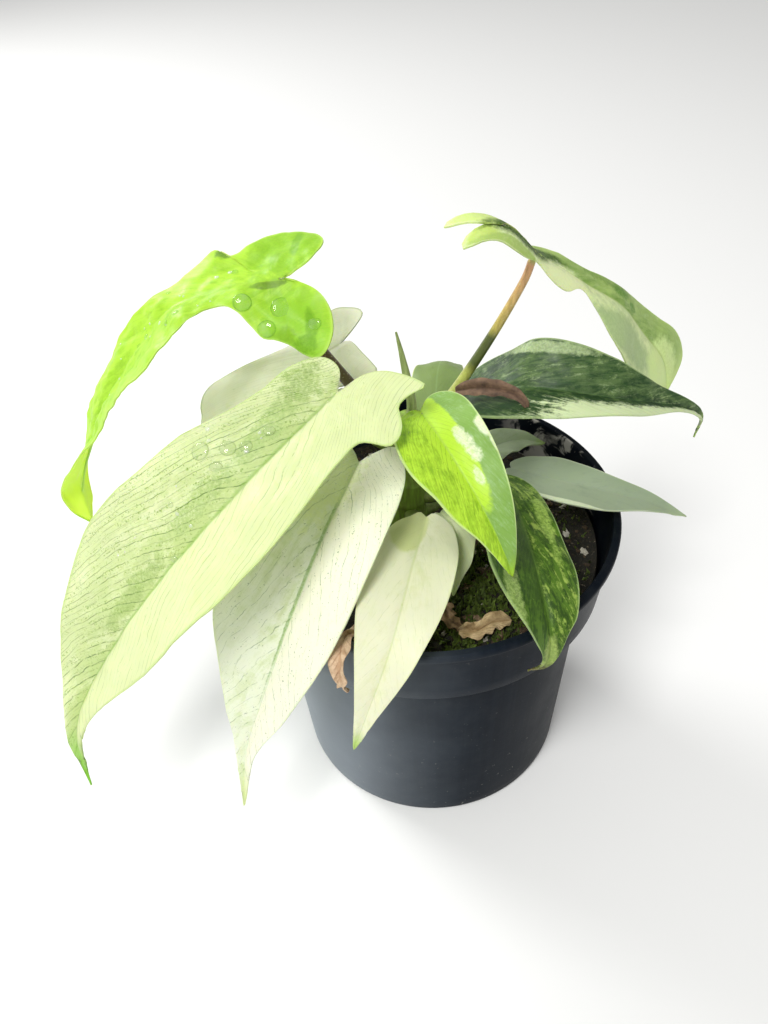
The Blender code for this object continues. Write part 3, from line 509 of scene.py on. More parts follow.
# Dry scraps are blades with no stalk: the papery sheath at the crown, two dead leaves and a curl.
SCRAPS = {
    "dry_sheath": dict(
        spine=((9, 1.5, 146), (15.5, -2, 149.3), (22.5, -4.5, 149.8), (27, -6.5, 148),
            (28.5, -7.5, 145.5)),
        faces=((-0.2, -0.5, 1), (0, -0.6, 0.8), (0.2, -0.6, 0.7)),
        left=((20, 40), (150, 80), (400, 100), (700, 70), (900, 30)),
        right=((20, 40), (150, 80), (400, 95), (700, 60), (900, 30)),
        fold=((0, 55, 30), (1, 50, 35))),
    "dry_leaf_on_rim": dict(
        spine=((-15, -40, 95.5), (-19, -48, 101), (-22.5, -55.3, 106), (-24, -61, 103.5), (-24, -62, 95),
            (-23, -60.5, 91)),
        faces=((0, -0.3, 1), (-0.2, -0.5, 1), (-0.4, -0.9, 0.5), (-0.5, -0.9, -0.2)),
        left=((20, 50), (150, 80), (400, 70), (600, 50), (750, 70), (900, 30)),
        right=((20, 50), (150, 80), (400, 50), (650, 70), (850, 30)),
        fold=((0, 10, 10), (0.5, 45, 30), (1, 50, 40))),
    "dry_leaf_on_soil": dict(
        spine=((8.5, -44, 95.5), (13, -44.6, 96.2), (18, -42.5, 97), (23.5, -41, 96.3)),
        faces=((0, -0.4, 1), (0, -0.6, 1), (0.2, -0.5, 1)),
        left=((20, 80), (200, 160), (450, 130), (700, 200), (900, 120)),
        right=((20, 60), (200, 120), (450, 160), (700, 130), (900, 100)),
        fold=((0, 50, 35), (0.5, 10, 45), (1, 50, 30))),
    "dry_curl": dict(
        spine=((2, -32.5, 94.5), (5, -36, 96), (6, -40, 96), (10, -43.5, 95.5)),
        faces=((0.5, -0.2, 1), (-0.2, -0.3, 1), (0.3, -0.5, 1)),
        left=((20, 50), (200, 120), (500, 140), (800, 100)),
        right=((20, 50), (200, 100), (500, 160), (800, 80)),
        fold=((0, 40, 20), (1, 60, 30))),
}

print("leaves:", len(LEAVES), "scraps:", len(SCRAPS))

# %% [markdown]
# Two helpers carry the bending. The first runs a smooth curve through a few points and spaces its steps
# evenly. The second is the blade itself: it knows the midrib's place, heading, upper side and right-hand
# side at every step, and turns flat leaf coordinates into places in space. The columns of its grid run
# out from the midrib as side veins do: they meet the margin nearer the tip than they start, by a slant,
# and bend on the way. The vein marks follow the same run, with a sweep that grows towards the margin.

# %% Bending a flat leaf along its midrib
SPINE_STEPS = 160
CURVE_STEPS = 40
LOBE_REACH = 0.3
VEIN_SLANT = 1.5
VEIN_SWEEP = (1.7, 7.0)
VEIN_BEND = 0.42
VEIN_BOW = 0.55
VEIN_STEPS = 0.1
LAST_VEINS = (0.97, 0.985)


def unit(vectors):
    """Vectors scaled to length one."""
    vectors = np.asarray(vectors, float)
    return vectors / np.maximum(np.linalg.norm(vectors, axis=-1, keepdims=True), 1e-9)


def read_off(at, marks, rows):
    """Rows of numbers, each column interpolated between the marks."""
    return np.stack([np.interp(at, marks, column) for column in np.transpose(rows)], -1)


def smooth_curve(points, count):
    """Points spaced evenly by length on a smooth curve through the control points."""
    control = np.asarray(points, float)
    control = np.vstack([2 * control[0] - control[1], control, 2 * control[-1] - control[-2]])
    pieces = []
    for a, b, c, d in zip(control, control[1:], control[2:], control[3:]):
        t = np.linspace(0, 1, CURVE_STEPS, endpoint=False)[:, None]
        bend = 2 * a - 5 * b + 4 * c - d
        pieces.append(0.5 * (2 * b + (c - a) * t + bend * t**2 + (3 * b - a - 3 * c + d) * t**3))
    dense = np.vstack(pieces + [control[-2][None]])
    length = np.concatenate([[0], np.cumsum(np.linalg.norm(np.diff(dense, axis=0), axis=1))])
    return read_off(np.linspace(0, length[-1], count), length, dense), length[-1]


class Blade:
    """A leaf blade: a flat outline bent along a midrib in space."""

    def __init__(self, form):
        self.form = form
        self.spine, self.length = smooth_curve(form["spine"], SPINE_STEPS + 1)
        self.along = unit(np.gradient(self.spine, axis=0))
        marks = np.linspace(0, 1, len(form["faces"]))
        up = read_off(np.linspace(0, 1, SPINE_STEPS + 1), marks, form["faces"])
        up -= (up * self.along).sum(1, keepdims=True) * self.along
        self.up = unit(up)
        self.side = np.cross(self.along, self.up)

    def frame_at(self, fraction):
        """Place, heading, upper side and right-hand side of the midrib at a fraction of its length."""
        position = np.clip(fraction, 0, 1) * SPINE_STEPS
        index = np.clip(position.astype(int), 0, SPINE_STEPS - 1)
        weight = (position - index)[..., None]
        place, *ways = [values[index] * (1 - weight) + values[index + 1] * weight
                        for values in (self.spine, self.along, self.up, self.side)]
        return place, *[unit(way) for way in ways]

    def fold_at(self, fraction, left):
        """Angle in radians by which a half of the blade lifts from flat."""
        marks, *halves = np.transpose(self.form["fold"])
        return np.radians(np.where(left, *[np.interp(fraction, marks, half) for half in halves]))

    def place(self, along, across):
        """Bend flat leaf coordinates, in leaf lengths, to mm. Lobes reach back past the notch."""
        place, heading, up, side = self.frame_at(along)
        back = np.minimum(along, 0)
        lift, left_droop, right_droop = self.form.get("lobes", (0, 0, 0))
        droop = np.where(across < 0, left_droop, right_droop) * np.abs(back / LOBE_REACH)**3
        tilt = np.radians(lift - droop)[..., None]
        place = place + (heading * np.cos(tilt) - up * np.sin(tilt)) * (back * self.length)[..., None]
        fold = self.fold_at(np.clip(along, 0, 1), across < 0)
        reach = across * self.length
        place = place + side * (reach * np.cos(fold))[..., None]
        return place + up * (np.abs(reach) * np.sin(fold))[..., None]

    def flat_grid(self, rows, columns):
        """Flat coordinates of every vertex: row by row from the notch, from left margin to right."""
        margins = []
        for half in ("left", "right"):
            outline = [(0, 0), *np.divide(self.form[half], 1000), (1, 0)]
            margins.append(smooth_curve(outline, rows + 1)[0])
        start = np.mean([margin[:, 0] - VEIN_SLANT * margin[:, 1] for margin in margins], axis=0)
        apart = np.linspace(0, VEIN_STEPS, rows + 1)
        start = np.maximum.accumulate(np.clip(start, 0, LAST_VEINS[0]) + apart)
        start = np.clip(start - start[0], 0, LAST_VEINS[1])[:, None]
        start[-1] = 1.0
        spread = np.linspace(0, 1, columns + 1)[None, :]
        halves = []
        for sign, margin in zip((-1, 1), margins):
            along, across = margin[:, :1], margin[:, 1:]
            middle = start + VEIN_BEND * (along - start)
            y = (1 - spread)**2 * start + 2 * spread * (1 - spread) * middle + spread**2 * along
            x = 2 * VEIN_BOW * spread * (1 - spread) * across + spread**2 * across
            halves.append((y, sign * x))
        left, right = halves
        return [np.hstack([left[k][:, ::-1], right[k][:, 1:]]) for k in (0, 1)]

    def vein_marks(self, along, across):
        """A number for every vertex that stays the same along one side vein."""
        reach = np.abs(across)
        mark = along - VEIN_SWEEP[0] * reach - VEIN_SWEEP[1] * reach**2
        fan = VEIN_BEND * mark / (np.hypot(along, across) + 0.05)
        return np.where(mark < 0, fan, mark)


print("longest blade:", round(max(Blade(form).length for form in LEAVES.values())), "mm")

# %% [markdown]
# A real blade isn't a bent sheet of card. Its midrib lies in a groove, the side veins sink a little and
# the tissue between them swells, the margin waves gently, and new leaves are dented from being rolled in
# the bud. This relief is worked out as a height over the bent surface and added along its normal.

# %% Relief of a blade
VEIN_OFFSET = 0.8
WAVE_OFFSET = 0.13
QUILT_LEVEL = 0.7
DENT_LAYERS = ((1.0, 0.11), (0.4, 0.3))


def layered(spot, layers):
    """Noise of several sizes added up. Layers are (height, scale)."""
    return sum(height * noise.noise(Vector(spot) * scale) for height, scale in layers)


def surface_normals(places, blade, along):
    """Unit normals of a grid of places, on the blade's upper side."""
    normals = unit(np.cross(np.gradient(places, axis=1), np.gradient(places, axis=0)))
    up = blade.frame_at(along)[2]
    facing = np.where((normals * up).sum(-1, keepdims=True) < 0, -1.0, 1.0)
    flat = np.linalg.norm(normals, axis=-1, keepdims=True) < 0.5
    return np.where(flat, up, normals * facing)


def relief(blade, places, marks, across, skin):
    """Height in mm over the bent surface, from the values in skin."""
    rows, columns = across.shape
    step = np.linspace(0, 1, rows)[:, None]
    reach = np.abs(np.linspace(-1, 1, columns))[None, :]
    side = np.sign(np.linspace(-1, 1, columns))[None, :]
    ends = np.sin(np.pi * step)**0.5
    groove = -skin["groove"] * np.exp(-(across * blade.length / skin["groove_width"])**2)
    swing = np.cos(2 * np.pi * marks * skin["side_veins"] + VEIN_OFFSET * side)
    swelling = np.sin(np.pi * np.clip(reach * 1.05, 0, 1))**0.7
    quilt = skin["quilt"] * (np.abs(swing) - QUILT_LEVEL) * swelling
    waves = np.sin(2 * np.pi * (step * skin["waves"] + WAVE_OFFSET * side + skin["phase"]))
    margin = skin["wave"] * waves * reach**3 * ends
    curl = -skin["curl"] * reach**4 * ends
    lumps = np.array([[layered(spot, DENT_LAYERS) for spot in row] for row in places])
    dents = skin["dents"] * lumps * np.sin(np.pi * np.clip(0.15 + reach * 0.7, 0, 1))
    return groove + quilt + margin + curl + dents


SKIN = dict(groove=0.35, groove_width=1.0, side_veins=9, quilt=0.12, wave=0.5, waves=4, phase=0.0,
            curl=0.3, dents=0.35)
SKINS = {
    "lime_leaf": dict(groove=0.5, groove_width=1.6, wave=0.6, dents=1.8, curl=0.4),
    "big_mint_leaf": dict(groove=0.55, groove_width=1.5, side_veins=13, quilt=0.14, wave=0.7, dents=0.8,
                          curl=0.8, phase=0.2),
    "white_front_leaf": dict(side_veins=11, dents=0.5, groove=0.5, groove_width=1.4),
    "cream_front_leaf": dict(dents=0.3, quilt=0.08),
    "centre_leaf": dict(quilt=0.14, dents=0.5, curl=0.5),
    "dark_side_leaf": dict(quilt=0.14, dents=0.45, wave=0.6),
    "tall_right_leaf": dict(wave=0.25, waves=3, quilt=0.06),
    "grey_side_leaf": dict(quilt=0.03, dents=0.15, groove=0.15, wave=0.2),
}
print("side veins on the largest leaf:", SKINS["big_mint_leaf"]["side_veins"], "a half")

# %% [markdown]
# A blade starts as a grid primitive, whose own map becomes the leaf's map. Its vertices move to the bent
# places with their relief, the rows that shrink to a point at the notch and the tip are merged, and
# Solidify gives the tissue its thickness. The underside gets its own material, because it is duller:
# two empty material slots are made first, since Solidify only uses slots that exist.

# %% Making a blade
BLADE_THICKNESS = 0.5
MERGE_WITHIN = 0.02


def blade_piece(form, skin, rows, columns, thickness=BLADE_THICKNESS):
    """A leaf blade as a closed mesh."""
    blade = Blade(form)
    along, across = blade.flat_grid(rows, columns)
    places = blade.place(along, across)
    marks = blade.vein_marks(along, across)
    height = relief(blade, places, marks, across, dict(SKIN, **skin))
    places = places + surface_normals(places, blade, along) * height[..., None]
    piece = add(bpy.ops.mesh.primitive_grid_add, x_subdivisions=2 * columns, y_subdivisions=rows, size=2.0)
    flat = corners(piece)
    column = np.rint((flat[:, 0] + 1) * columns).astype(int)
    row = np.rint((flat[:, 1] + 1) * rows / 2).astype(int)
    piece.data.vertices.foreach_set("co", (places[row, column] * MM).ravel())
    store(piece, "flat", np.stack([across, along, marks], -1)[row, column])
    piece.data.update()
    tidy_mesh(piece, MERGE_WITHIN)
    upper = Vector(blade.up[SPINE_STEPS // 2])
    if sum(face.normal.dot(upper) * face.area for face in piece.data.polygons) < 0:
        piece.data.flip_normals()
    piece.data.materials.append(None)
    piece.data.materials.append(None)
    solid = piece.modifiers.new("Tissue", "SOLIDIFY")
    solid.thickness = thickness * MM
    solid.offset = 0.0
    solid.material_offset = 1
    apply_modifiers(piece)
    blade.rib_stops = np.clip(along[:, columns], 0, 1)
    blade.rib_places = places[:, columns]
    return piece, blade


# %% [markdown]
# Every leaf of this plant has its own colouring, from lime to near white to dark green, which is what
# the plant is grown for. Its materials share one recipe: the two halves' colours, clouds of a deeper
# tone along the midrib, middle and pale marbling, a band along the margin, single patches, speckles,
# dashed veins, the midrib, the rim and the tip. Only the values differ, and LOOK holds those that a leaf
# doesn't set for itself. Numbers for the two halves are written as (left, right). A patch is (along,
# across, half its length, half its width, raggedness, colour), the first four in thousandths of the
# midrib's length, with across below zero on the left half. Subsurface scattering lets light through the
# thin tissue, and more of it shows on the underside, which glows when the light is behind the leaf.

# %% Colouring of the leaves
LOOK = dict(
    halves=("#A8C070", "#A8C070"), deep="#7C9A48", deep_cover=(0.3, 0.3), mid="#A8C070", mid_cover=(0, 0),
    pale="#DDE8B8", pale_cover=(0, 0), soft=0.06, fine=1.0, vein="#7F9A5A", lines=(0.4, 0.4), count=30,
    width=0.2, gaps=0.42, speck="#6B8A3E", specks=(0, 0), rib="#8FAE5A", rib_mix=0.6, rib_wide=0.05,
    rim="#D5E0A8", rim_mix=0.5, tip="#A8C95A", tip_mix=0.5, band=(0, 0), band_from=0.66,
    band_tone="#DDE8B8", under_mix=0.35, patches=(), underside="#B9CC8C", seed=1.0)
LOOKS = {
    "lime_leaf": dict(
        halves=("#AAD63A", "#AEDA3C"), deep="#8CBE22", deep_cover=(0.5, 0.45), vein="#7CAE2A",
        lines=(0.3, 0.3), rib="#8CC030", rib_mix=0.4, rim="#CFEA84", rim_mix=0.3, tip="#A8DC2C",
        tip_mix=0.6, underside="#C0EE60", under_mix=1.0, seed=2.0,
        # The darker patches on this leaf are painted shade in its lobes, its dents and the fold at the
        # notch.
        patches=((-10, 100, 90, 90, 0.5, "#8CBE2C"), (-20, -130, 70, 90, 0.5, "#94C832"),
            (-52, -115, 14, 35, 0.4, "#78AC22"), (-30, -155, 30, 20, 0.5, "#74A81C"),
            (3, -125, 20, 18, 0.4, "#84B424"), (-45, -50, 20, 20, 0.4, "#90C02C"),
            (-27, 100, 12, 42, 0.4, "#78AC22"), (18, 60, 14, 20, 0.5, "#84B424"),
            (30, -12, 40, 8, 0.3, "#6F9422"), (140, 100, 22, 18, 0.4, "#6A9030"))),
    "big_mint_leaf": dict(
        halves=("#D0DAA2", "#DAE3B0"), deep="#BECF8A", deep_cover=(0.1, 0.6), vein="#486E16",
        lines=(0.5, 0.95), width=0.18, gaps=0.45, speck="#7A9A38", specks=(0.25, 0.5), rib="#8CB44E",
        rib_mix=0.7, rib_wide=0.03, rim="#B4CC7C", rim_mix=0.6, tip="#7DBE2A", tip_mix=1.0, seed=3.0,
        patches=((30, 50, 40, 30, 1.0, "#A2B86E"), (126, 37, 70, 18, 1.0, "#AAC078"),
            (283, 36, 90, 18, 1.0, "#AAC078"), (520, 25, 100, 16, 1.0, "#A4BA70"))),
    "cream_back_leaf": dict(
        halves=("#F6F8DE", "#F6F8DE"), deep="#E8EDCC", vein="#A8B080", lines=(0.25, 0.25), rib="#B4BE84",
        rim="#98A47C", rim_mix=0.6, tip="#C4CE8E", seed=4.0),
    "white_front_leaf": dict(
        halves=("#F1F2DA", "#E4EBD2"), deep="#CCD8A8", deep_cover=(0.1, 0.4), vein="#5C7A3C",
        lines=(0.75, 0.75), count=15, width=0.1, gaps=0.48, speck="#5E7C44", specks=(0.4, 0.35),
        rib="#B4CC8C", rib_mix=0.5, rib_wide=0.02, rim="#D5E4B4", tip="#C8DC84", tip_mix=0.8, seed=5.0,
        # The thin green line beside the midrib is painted shade in its groove, on one side.
        patches=((300, 4, 300, 3, 0.6, "#98B276"), (60, 50, 140, 70, 0.8, "#DDE6AE"))),
    "cream_front_leaf": dict(
        halves=("#E5E8C6", "#E5E8C6"), deep="#D9DEB0", vein="#A8B878", count=18, width=0.12, gaps=0.5,
        rib="#C4D090", rim="#D2DCA0", tip="#A2C84C", tip_mix=0.9, seed=6.0,
        # The olive patch near the notch is a painted shadow, cast by the leaf above it.
        patches=((80, 45, 140, 62, 0.12, "#D2DA9C"),)),
    "centre_leaf": dict(
        # The green grey of the left half is painted shade, and the lime oval over it near the midrib is
        # painted sunlight. The pale patches are white variegation.
        halves=("#86AC52", "#BEE63E"), deep="#98C42E", deep_cover=(0.1, 0.3), mid="#86B01E",
        mid_cover=(0.0, 0.38), pale="#A2C486", pale_cover=(0.25, 0.0), soft=0.09, fine=1.3,
        vein="#5F8F1A", lines=(0.35, 0.7), count=20, speck="#5C8614", specks=(0.05, 0.35), rib="#A6CE54",
        rim="#D2E8A0", rim_mix=0.7, tip="#A6D22C", tip_mix=0.8, seed=7.0,
        patches=((260, -20, 380, 75, 0.12, "#BCE43C"), (300, -80, 50, 26, 0.6, "#E4EEC8"),
            (370, -90, 70, 30, 0.7, "#E4EEC8"), (320, -185, 55, 30, 0.3, "#E4EEC8"),
            (410, -190, 60, 16, 0.4, "#E4EEC8"), (500, -55, 45, 18, 0.8, "#DCE8BC"))),
    "dark_drooping_leaf": dict(
        halves=("#2E4A0C", "#2A480A"), deep="#1E3805", mid="#4E701A", mid_cover=(0.55, 0.5),
        pale="#98B050", pale_cover=(0.36, 0.12), soft=0.035, vein="#6E9238", lines=(0.3, 0.3),
        speck="#A5C274", specks=(0.2, 0.2), rib="#5C7C2C", rim="#B4CC8A", tip="#8A7A4A", tip_mix=0.7,
        seed=8.0,
        patches=((600, 135, 220, 30, 0.9, "#96AE60"), (300, -85, 160, 22, 1.0, "#9CB856"),
            (500, 30, 200, 45, 1.0, "#36540F"), (840, 0, 70, 30, 0.6, "#9CB25C"))),
    "grey_side_leaf": dict(
        halves=("#8E9C80", "#909D82"), deep="#84927A", vein="#98A88C", lines=(0.08, 0.08), rib="#9CAA90",
        rib_mix=0.3, rim="#C4CEB0", rim_mix=0.6, tip="#A4B48C", seed=9.0,
        # The pale strip along the lower margin is a painted highlight.
        patches=((400, 142, 200, 12, 0.2, "#C6D0AE"),)),
    "pale_low_leaf": dict(
        halves=("#A8B696", "#A8B696"), deep="#98A886", mid="#98AA86", mid_cover=(0.3, 0.3), rib="#8EA27C",
        rim="#C2CCAE", seed=10.0),
    "dark_side_leaf": dict(
        halves=("#2C4A22", "#284620"), deep="#1C3617", deep_cover=(0.55, 0.6), mid="#566E3E",
        mid_cover=(0.5, 0.4), pale="#98AC78", pale_cover=(0.24, 0.08), band_from=0.45,
        band_tone="#CCDAAA", vein="#2C4A2A", lines=(0.2, 0.2), speck="#8CA478", specks=(0.25, 0.2),
        rib="#54743F", rib_mix=0.3, rim="#B9CC94", tip="#9CBF54", tip_mix=0.9, band=(0.0, 1.0),
        underside="#8FA878", seed=11.0,
        patches=((260, -128, 160, 18, 0.6, "#A9BA8A"),)),
    "tall_right_leaf": dict(
        halves=("#AAC26E", "#DCE8AE"), deep="#678C30", deep_cover=(0.5, 0.2), mid="#AABC84",
        mid_cover=(0.0, 0.25), pale="#C8D89C", pale_cover=(0.1, 0.3), vein="#8CAC52", lines=(0.1, 0.1),
        rib="#A8C068", rim="#D8E4B0", tip="#CEE28C", soft=0.12, tip_mix=0.8, seed=12.0,
        underside="#C2D284",
        patches=((-220, -60, 90, 70, 0.3, "#CADE84"), (-220, 40, 60, 50, 0.3, "#B8CE66"),
            (-100, 50, 140, 22, 0.3, "#A6BE66"), (-30, -10, 170, 36, 0.35, "#3C5A18"),
            (140, 50, 120, 60, 0.3, "#E2EDB4"), (360, -55, 160, 18, 0.8, "#7E9C48"),
            (420, -43, 50, 18, 0.8, "#5C8A24"), (510, -29, 30, 14, 0.8, "#5C8A24"),
            (480, 85, 280, 55, 0.35, "#A8BC84"), (850, 30, 140, 100, 0.3, "#D2E49A"))),
    "small_back_leaf": dict(
        halves=("#7F9458", "#7F9458"), deep="#748A4C", rib="#8CA66C", rim="#D9DFA4", rim_mix=0.9,
        seed=13.0),
    "small_cream_leaf": dict(
        halves=("#D6E0B2", "#D6E0B2"), deep="#C6D698", rib="#B8CC7C", rim="#D8E4A8", seed=14.0),
}


def leaf_coordinates(tree):
    """The numbers stored on a blade: its flat across and along, its vein mark, and reach from its map."""
    across, along, vein = parts(stored(tree, "flat", "Vector"))
    right = parts(add_node("UVMap", tree=tree, uv_map="UVMap"))[0]
    return across, along, vein, abs(right - 0.5) * 2.0


def tissue_colour(look, place):
    """The blade's colour and its vein mask."""
    across, along, vein, reach = leaf_coordinates(place.tree)
    right = span(cloud(place, 160.0) * 0.006 + across, 0.002, 0.004)
    here = dict(Vein=vein, Across=across, Place=place)

    def by_half(values):
        return span(right, 0.0, 1.0, *[float(value) for value in values])

    def marbled(cover, seed, fineness):
        return use_group(MARBLING, **here, Seed=look["seed"] + seed, Cover=by_half(cover),
                         Softness=look["soft"], Fineness=fineness)["Mask"]

    shade = mixed(right, *look["halves"])
    inner = span(reach, 0.1, 1.0, 1.0, 0.3)
    shade = mixed(marbled(look["deep_cover"], 0.0, 0.5) * inner, shade, look["deep"])
    shade = mixed(marbled(look["mid_cover"], 20.0, look["fine"]), shade, look["mid"])
    shade = mixed(marbled(look["pale_cover"], 40.0, look["fine"]), shade, look["pale"])
    streak = marbled((0.5, 0.5), 60.0, 1.5)
    shown = span(streak * 0.1 + along, 0.3, 0.37) * by_half(look["band"])
    band = span(streak * 0.24 + reach, look["band_from"], look["band_from"] + 0.25) * shown
    shade = mixed(band, shade, look["band_tone"])
    grain = span(cloud(place, 1300.0, 4.0, 0.7), 0.42, 0.58, 0.25, 1.0)
    for *oval, ragged, tone in look["patches"]:
        sizes = {label: number / 1000 for label, number in zip(OVAL, oval)}
        mark = use_group(PATCH, Along=along, Across=across, Place=place, **sizes, Ragged=ragged,
                         Softness=min(0.22, 0.5 * ragged))["Mask"]
        broken = span(grain, 0.0, 1.0, 1.0 - 0.8 * min(1.0, ragged), 1.0)
        shade = mixed(mark * broken, shade, tone)
    dots = use_group(SPECKLES, **here, Cover=by_half(look["specks"]))["Mask"]
    shade = mixed(dots * 0.7, shade, look["speck"])
    veins = use_group(VEINS, **here, Count=float(look["count"]), Width=look["width"], Gaps=look["gaps"])
    lines = maths("MAXIMUM", veins["Main"], veins["Fine"] * 0.35)
    shade = mixed(lines * by_half(look["lines"]), shade, look["vein"])
    near = cloud(place, 500.0) * 0.03 + reach
    shade = mixed(span(near, 0.015, 0.015 + look["rib_wide"], look["rib_mix"], 0.0), shade, look["rib"])
    rim = span(reach, 0.955, 0.985, 0.0, look["rim_mix"]) * span(abs(across), 0.004, 0.012)
    shade = mixed(rim, shade, look["rim"])
    return mixed(span(along, 0.87, 0.97, 0.0, look["tip_mix"]), shade, look["tip"]), lines


# Share and depth in metres of the light let through, and the range of roughness, on each side.
SIDES = {"upper": (0.3, 0.0014, (0.4, 0.54)), "lower": (0.8, 0.004, (0.5, 0.62))}


def leaf_material(name, look, side):
    """The upper or lower skin of one leaf."""
    weight, depth, rough = SIDES[side]
    material = new_material(name + "_" + side, 0.45, Subsurface_Weight=weight, Subsurface_Scale=depth,
                            Subsurface_Radius=(0.7, 1.0, 0.2), Specular_IOR_Level=0.28)
    place = own_place(material)
    shade, lines = tissue_colour(look, place)
    if side == "lower":
        shade = mixed(look["under_mix"], shade, look["underside"])
    paint(material, Base_Color=shade, Roughness=span(cloud(place, 300.0), 0.3, 0.7, *rough))
    add_bump(material, cloud(place, 2200.0, 2.0) * 0.25 + lines * -0.5, 0.1, 0.5)
    return material


# %% [markdown]
# Now the blades are made, one after another. Large leaves get more rows, so that their veins and waves
# stay smooth in a close view.

# %% Build every blade
LARGE_LEAF = 90
LARGE_GRID = (150, 22)
SMALL_GRID = (90, 15)
BLADES = {}
for name, form in LEAVES.items():
    grid = LARGE_GRID if Blade(form).length > LARGE_LEAF else SMALL_GRID
    piece, blade = blade_piece(form, SKINS.get(name, {}), *grid)
    BLADES[name] = blade
    look = dict(LOOK, **LOOKS[name])
    skins = [leaf_material(name, look, side) for side in SIDES]
    finish_piece(piece, name, skins, (name + "_blade",), crease=70)
    print(name, "blade", round(blade.length), "mm long,", len(piece.data.polygons), "faces")

# %% [markdown]
# A leaf stalk grows out of the stem with a swollen base, thins on its way up, swells once more just
# under the blade, and runs on beneath the blade as its rib. A curve with a round bevel gives all of
# that, because each of its points has its own radius. It is then turned into a mesh, and each vertex
# remembers how far along the stalk it lies, so that the colour can change from root to top.

# %% Stalks with their ribs
STEM_ROUTE = ((-6.5, 2, 84), (-6.5, 2, 100), (-5.5, 2.5, 118), (-4, 3, 130), (-4, 3, 136))
STEM_HEIGHTS = [point[2] for point in STEM_ROUTE]
STEM_RADII = (6.6, 6.6, 6.0, 5.0, 4.2)
RIB_STOPS = (0.012, 0.05, 0.1, 0.17, 0.24, 0.35, 0.5, 0.65, 0.8, 0.9)
RIB_RADIUS = 1.1
RIB_END = 0.25
RIB_HANG = 0.8
ROOT_IN, ROOT_OUT = 1.5, 1.6
FOOT_REACH = (2.5, 7)
STALK_SWELL = (1.5, 1.35, 1.02, 0.85)


def tube_piece(route, radii, sides):
    """A closed round tube through a route in mm, as a mesh."""
    piece = add(bpy.ops.curve.primitive_nurbs_path_add, location=(0, 0, 0))
    curve = piece.data
    curve.splines.clear()
    line = curve.splines.new("POLY")
    line.points.add(len(route) - 1)
    for point, place, radius in zip(line.points, route, radii):
        point.co = (*[value * MM for value in place], 1.0)
        point.radius = radius
    curve.bevel_depth = MM
    curve.bevel_resolution = sides // 2 - 2
    curve.use_fill_caps = True
    bpy.ops.object.convert(target="MESH")
    piece = bpy.context.object
    tidy_mesh(piece)
    return piece


def stalk_piece(blade, stalk):
    """The stalk, from inside the stem to the end of its rib under the blade. Also gives the share of
    its length where the blade begins, and stores on each vertex how far along the stalk it lies."""
    middle = read_off(stalk["height"], STEM_HEIGHTS, STEM_ROUTE)
    stem_radius = np.interp(stalk["height"], STEM_HEIGHTS, STEM_RADII)
    heading = math.radians(stalk["heading"])
    out = np.array([math.cos(heading), math.sin(heading), 0.0])
    roots = [middle + out * reach for reach in (stem_radius - ROOT_IN, stem_radius + ROOT_OUT)]
    controls = [*roots, *stalk["through"]]
    bare_count = len(controls) + 1
    for stop in RIB_STOPS:
        place = read_off(stop, blade.rib_stops, blade.rib_places)
        up = blade.frame_at(np.array(stop))[2]
        radius = RIB_RADIUS * (1 - stop)**0.75
        hang = min(0.0, *[float(blade.fold_at(stop, left)) for left in (True, False)])
        controls.append(place - up * (BLADE_THICKNESS / 2 + RIB_HANG * radius) / math.cos(hang))
    route, length = smooth_curve(controls, 90)
    bare, _ = smooth_curve(controls[:bare_count], 50)
    top = np.linalg.norm(np.diff(bare, axis=0), axis=1).sum() / length
    stops = [0, *[reach / length for reach in FOOT_REACH], 0.5 * top, 0.9 * top, top, 1]
    sizes = [*[swell * stalk["radius"] for swell in STALK_SWELL], RIB_RADIUS, RIB_RADIUS, RIB_END]
    radii = np.interp(np.linspace(0, 1, len(route)), stops, sizes)
    piece = tube_piece(route, radii, 14)
    away = ((corners(piece)[:, None] / MM - route[None])**2).sum(-1)
    store(piece, "along", away.argmin(1) / (len(route) - 1))
    return piece, top


# %% [markdown]
# Stalks on this plant are green, but the older ones are flushed with red brown, in fine streaks that
# run lengthwise. Three colours, for the root, the middle and the top of the bare stalk, are mixed by
# the stored mark, and stretched noise gives the streaks. The rib takes the blade's own tone, a little
# before the blade begins. The longest stalk has a dark green ring half way up.

# %% Stalk finish and the stalks themselves
PLAIN_STALK = ("#8A9E52", "#94AC5C", "#A8BC74")
STALK_TONES = {
    "lime_leaf": ("#5E5A2C", "#55441F", "#6A4A28"),
    "big_mint_leaf": ("#7F9448", "#93AE58", "#A5BE6C"),
    "cream_back_leaf": ("#6E6A38", "#5C4A26", "#A8A878"),
    "white_front_leaf": ("#6FA030", "#72B02C", "#8CBE4A"),
    "centre_leaf": ("#7FA040", "#8FB04A", "#A5C85A"),
    "tall_right_leaf": ("#C9D48A", "#B6BC4E", "#E2A47C"),
    "dark_side_leaf": ("#8A9A58", "#7A8A48", "#8A6A48"),
}
RIB_TONES = {"lime_leaf": "#C0EE60"}
RIB_FADE = 0.014
LATE_RIBS = ("lime_leaf",)
DARK_RINGS = {"tall_right_leaf": (0.39, 0.45, 0.59, 0.64)}


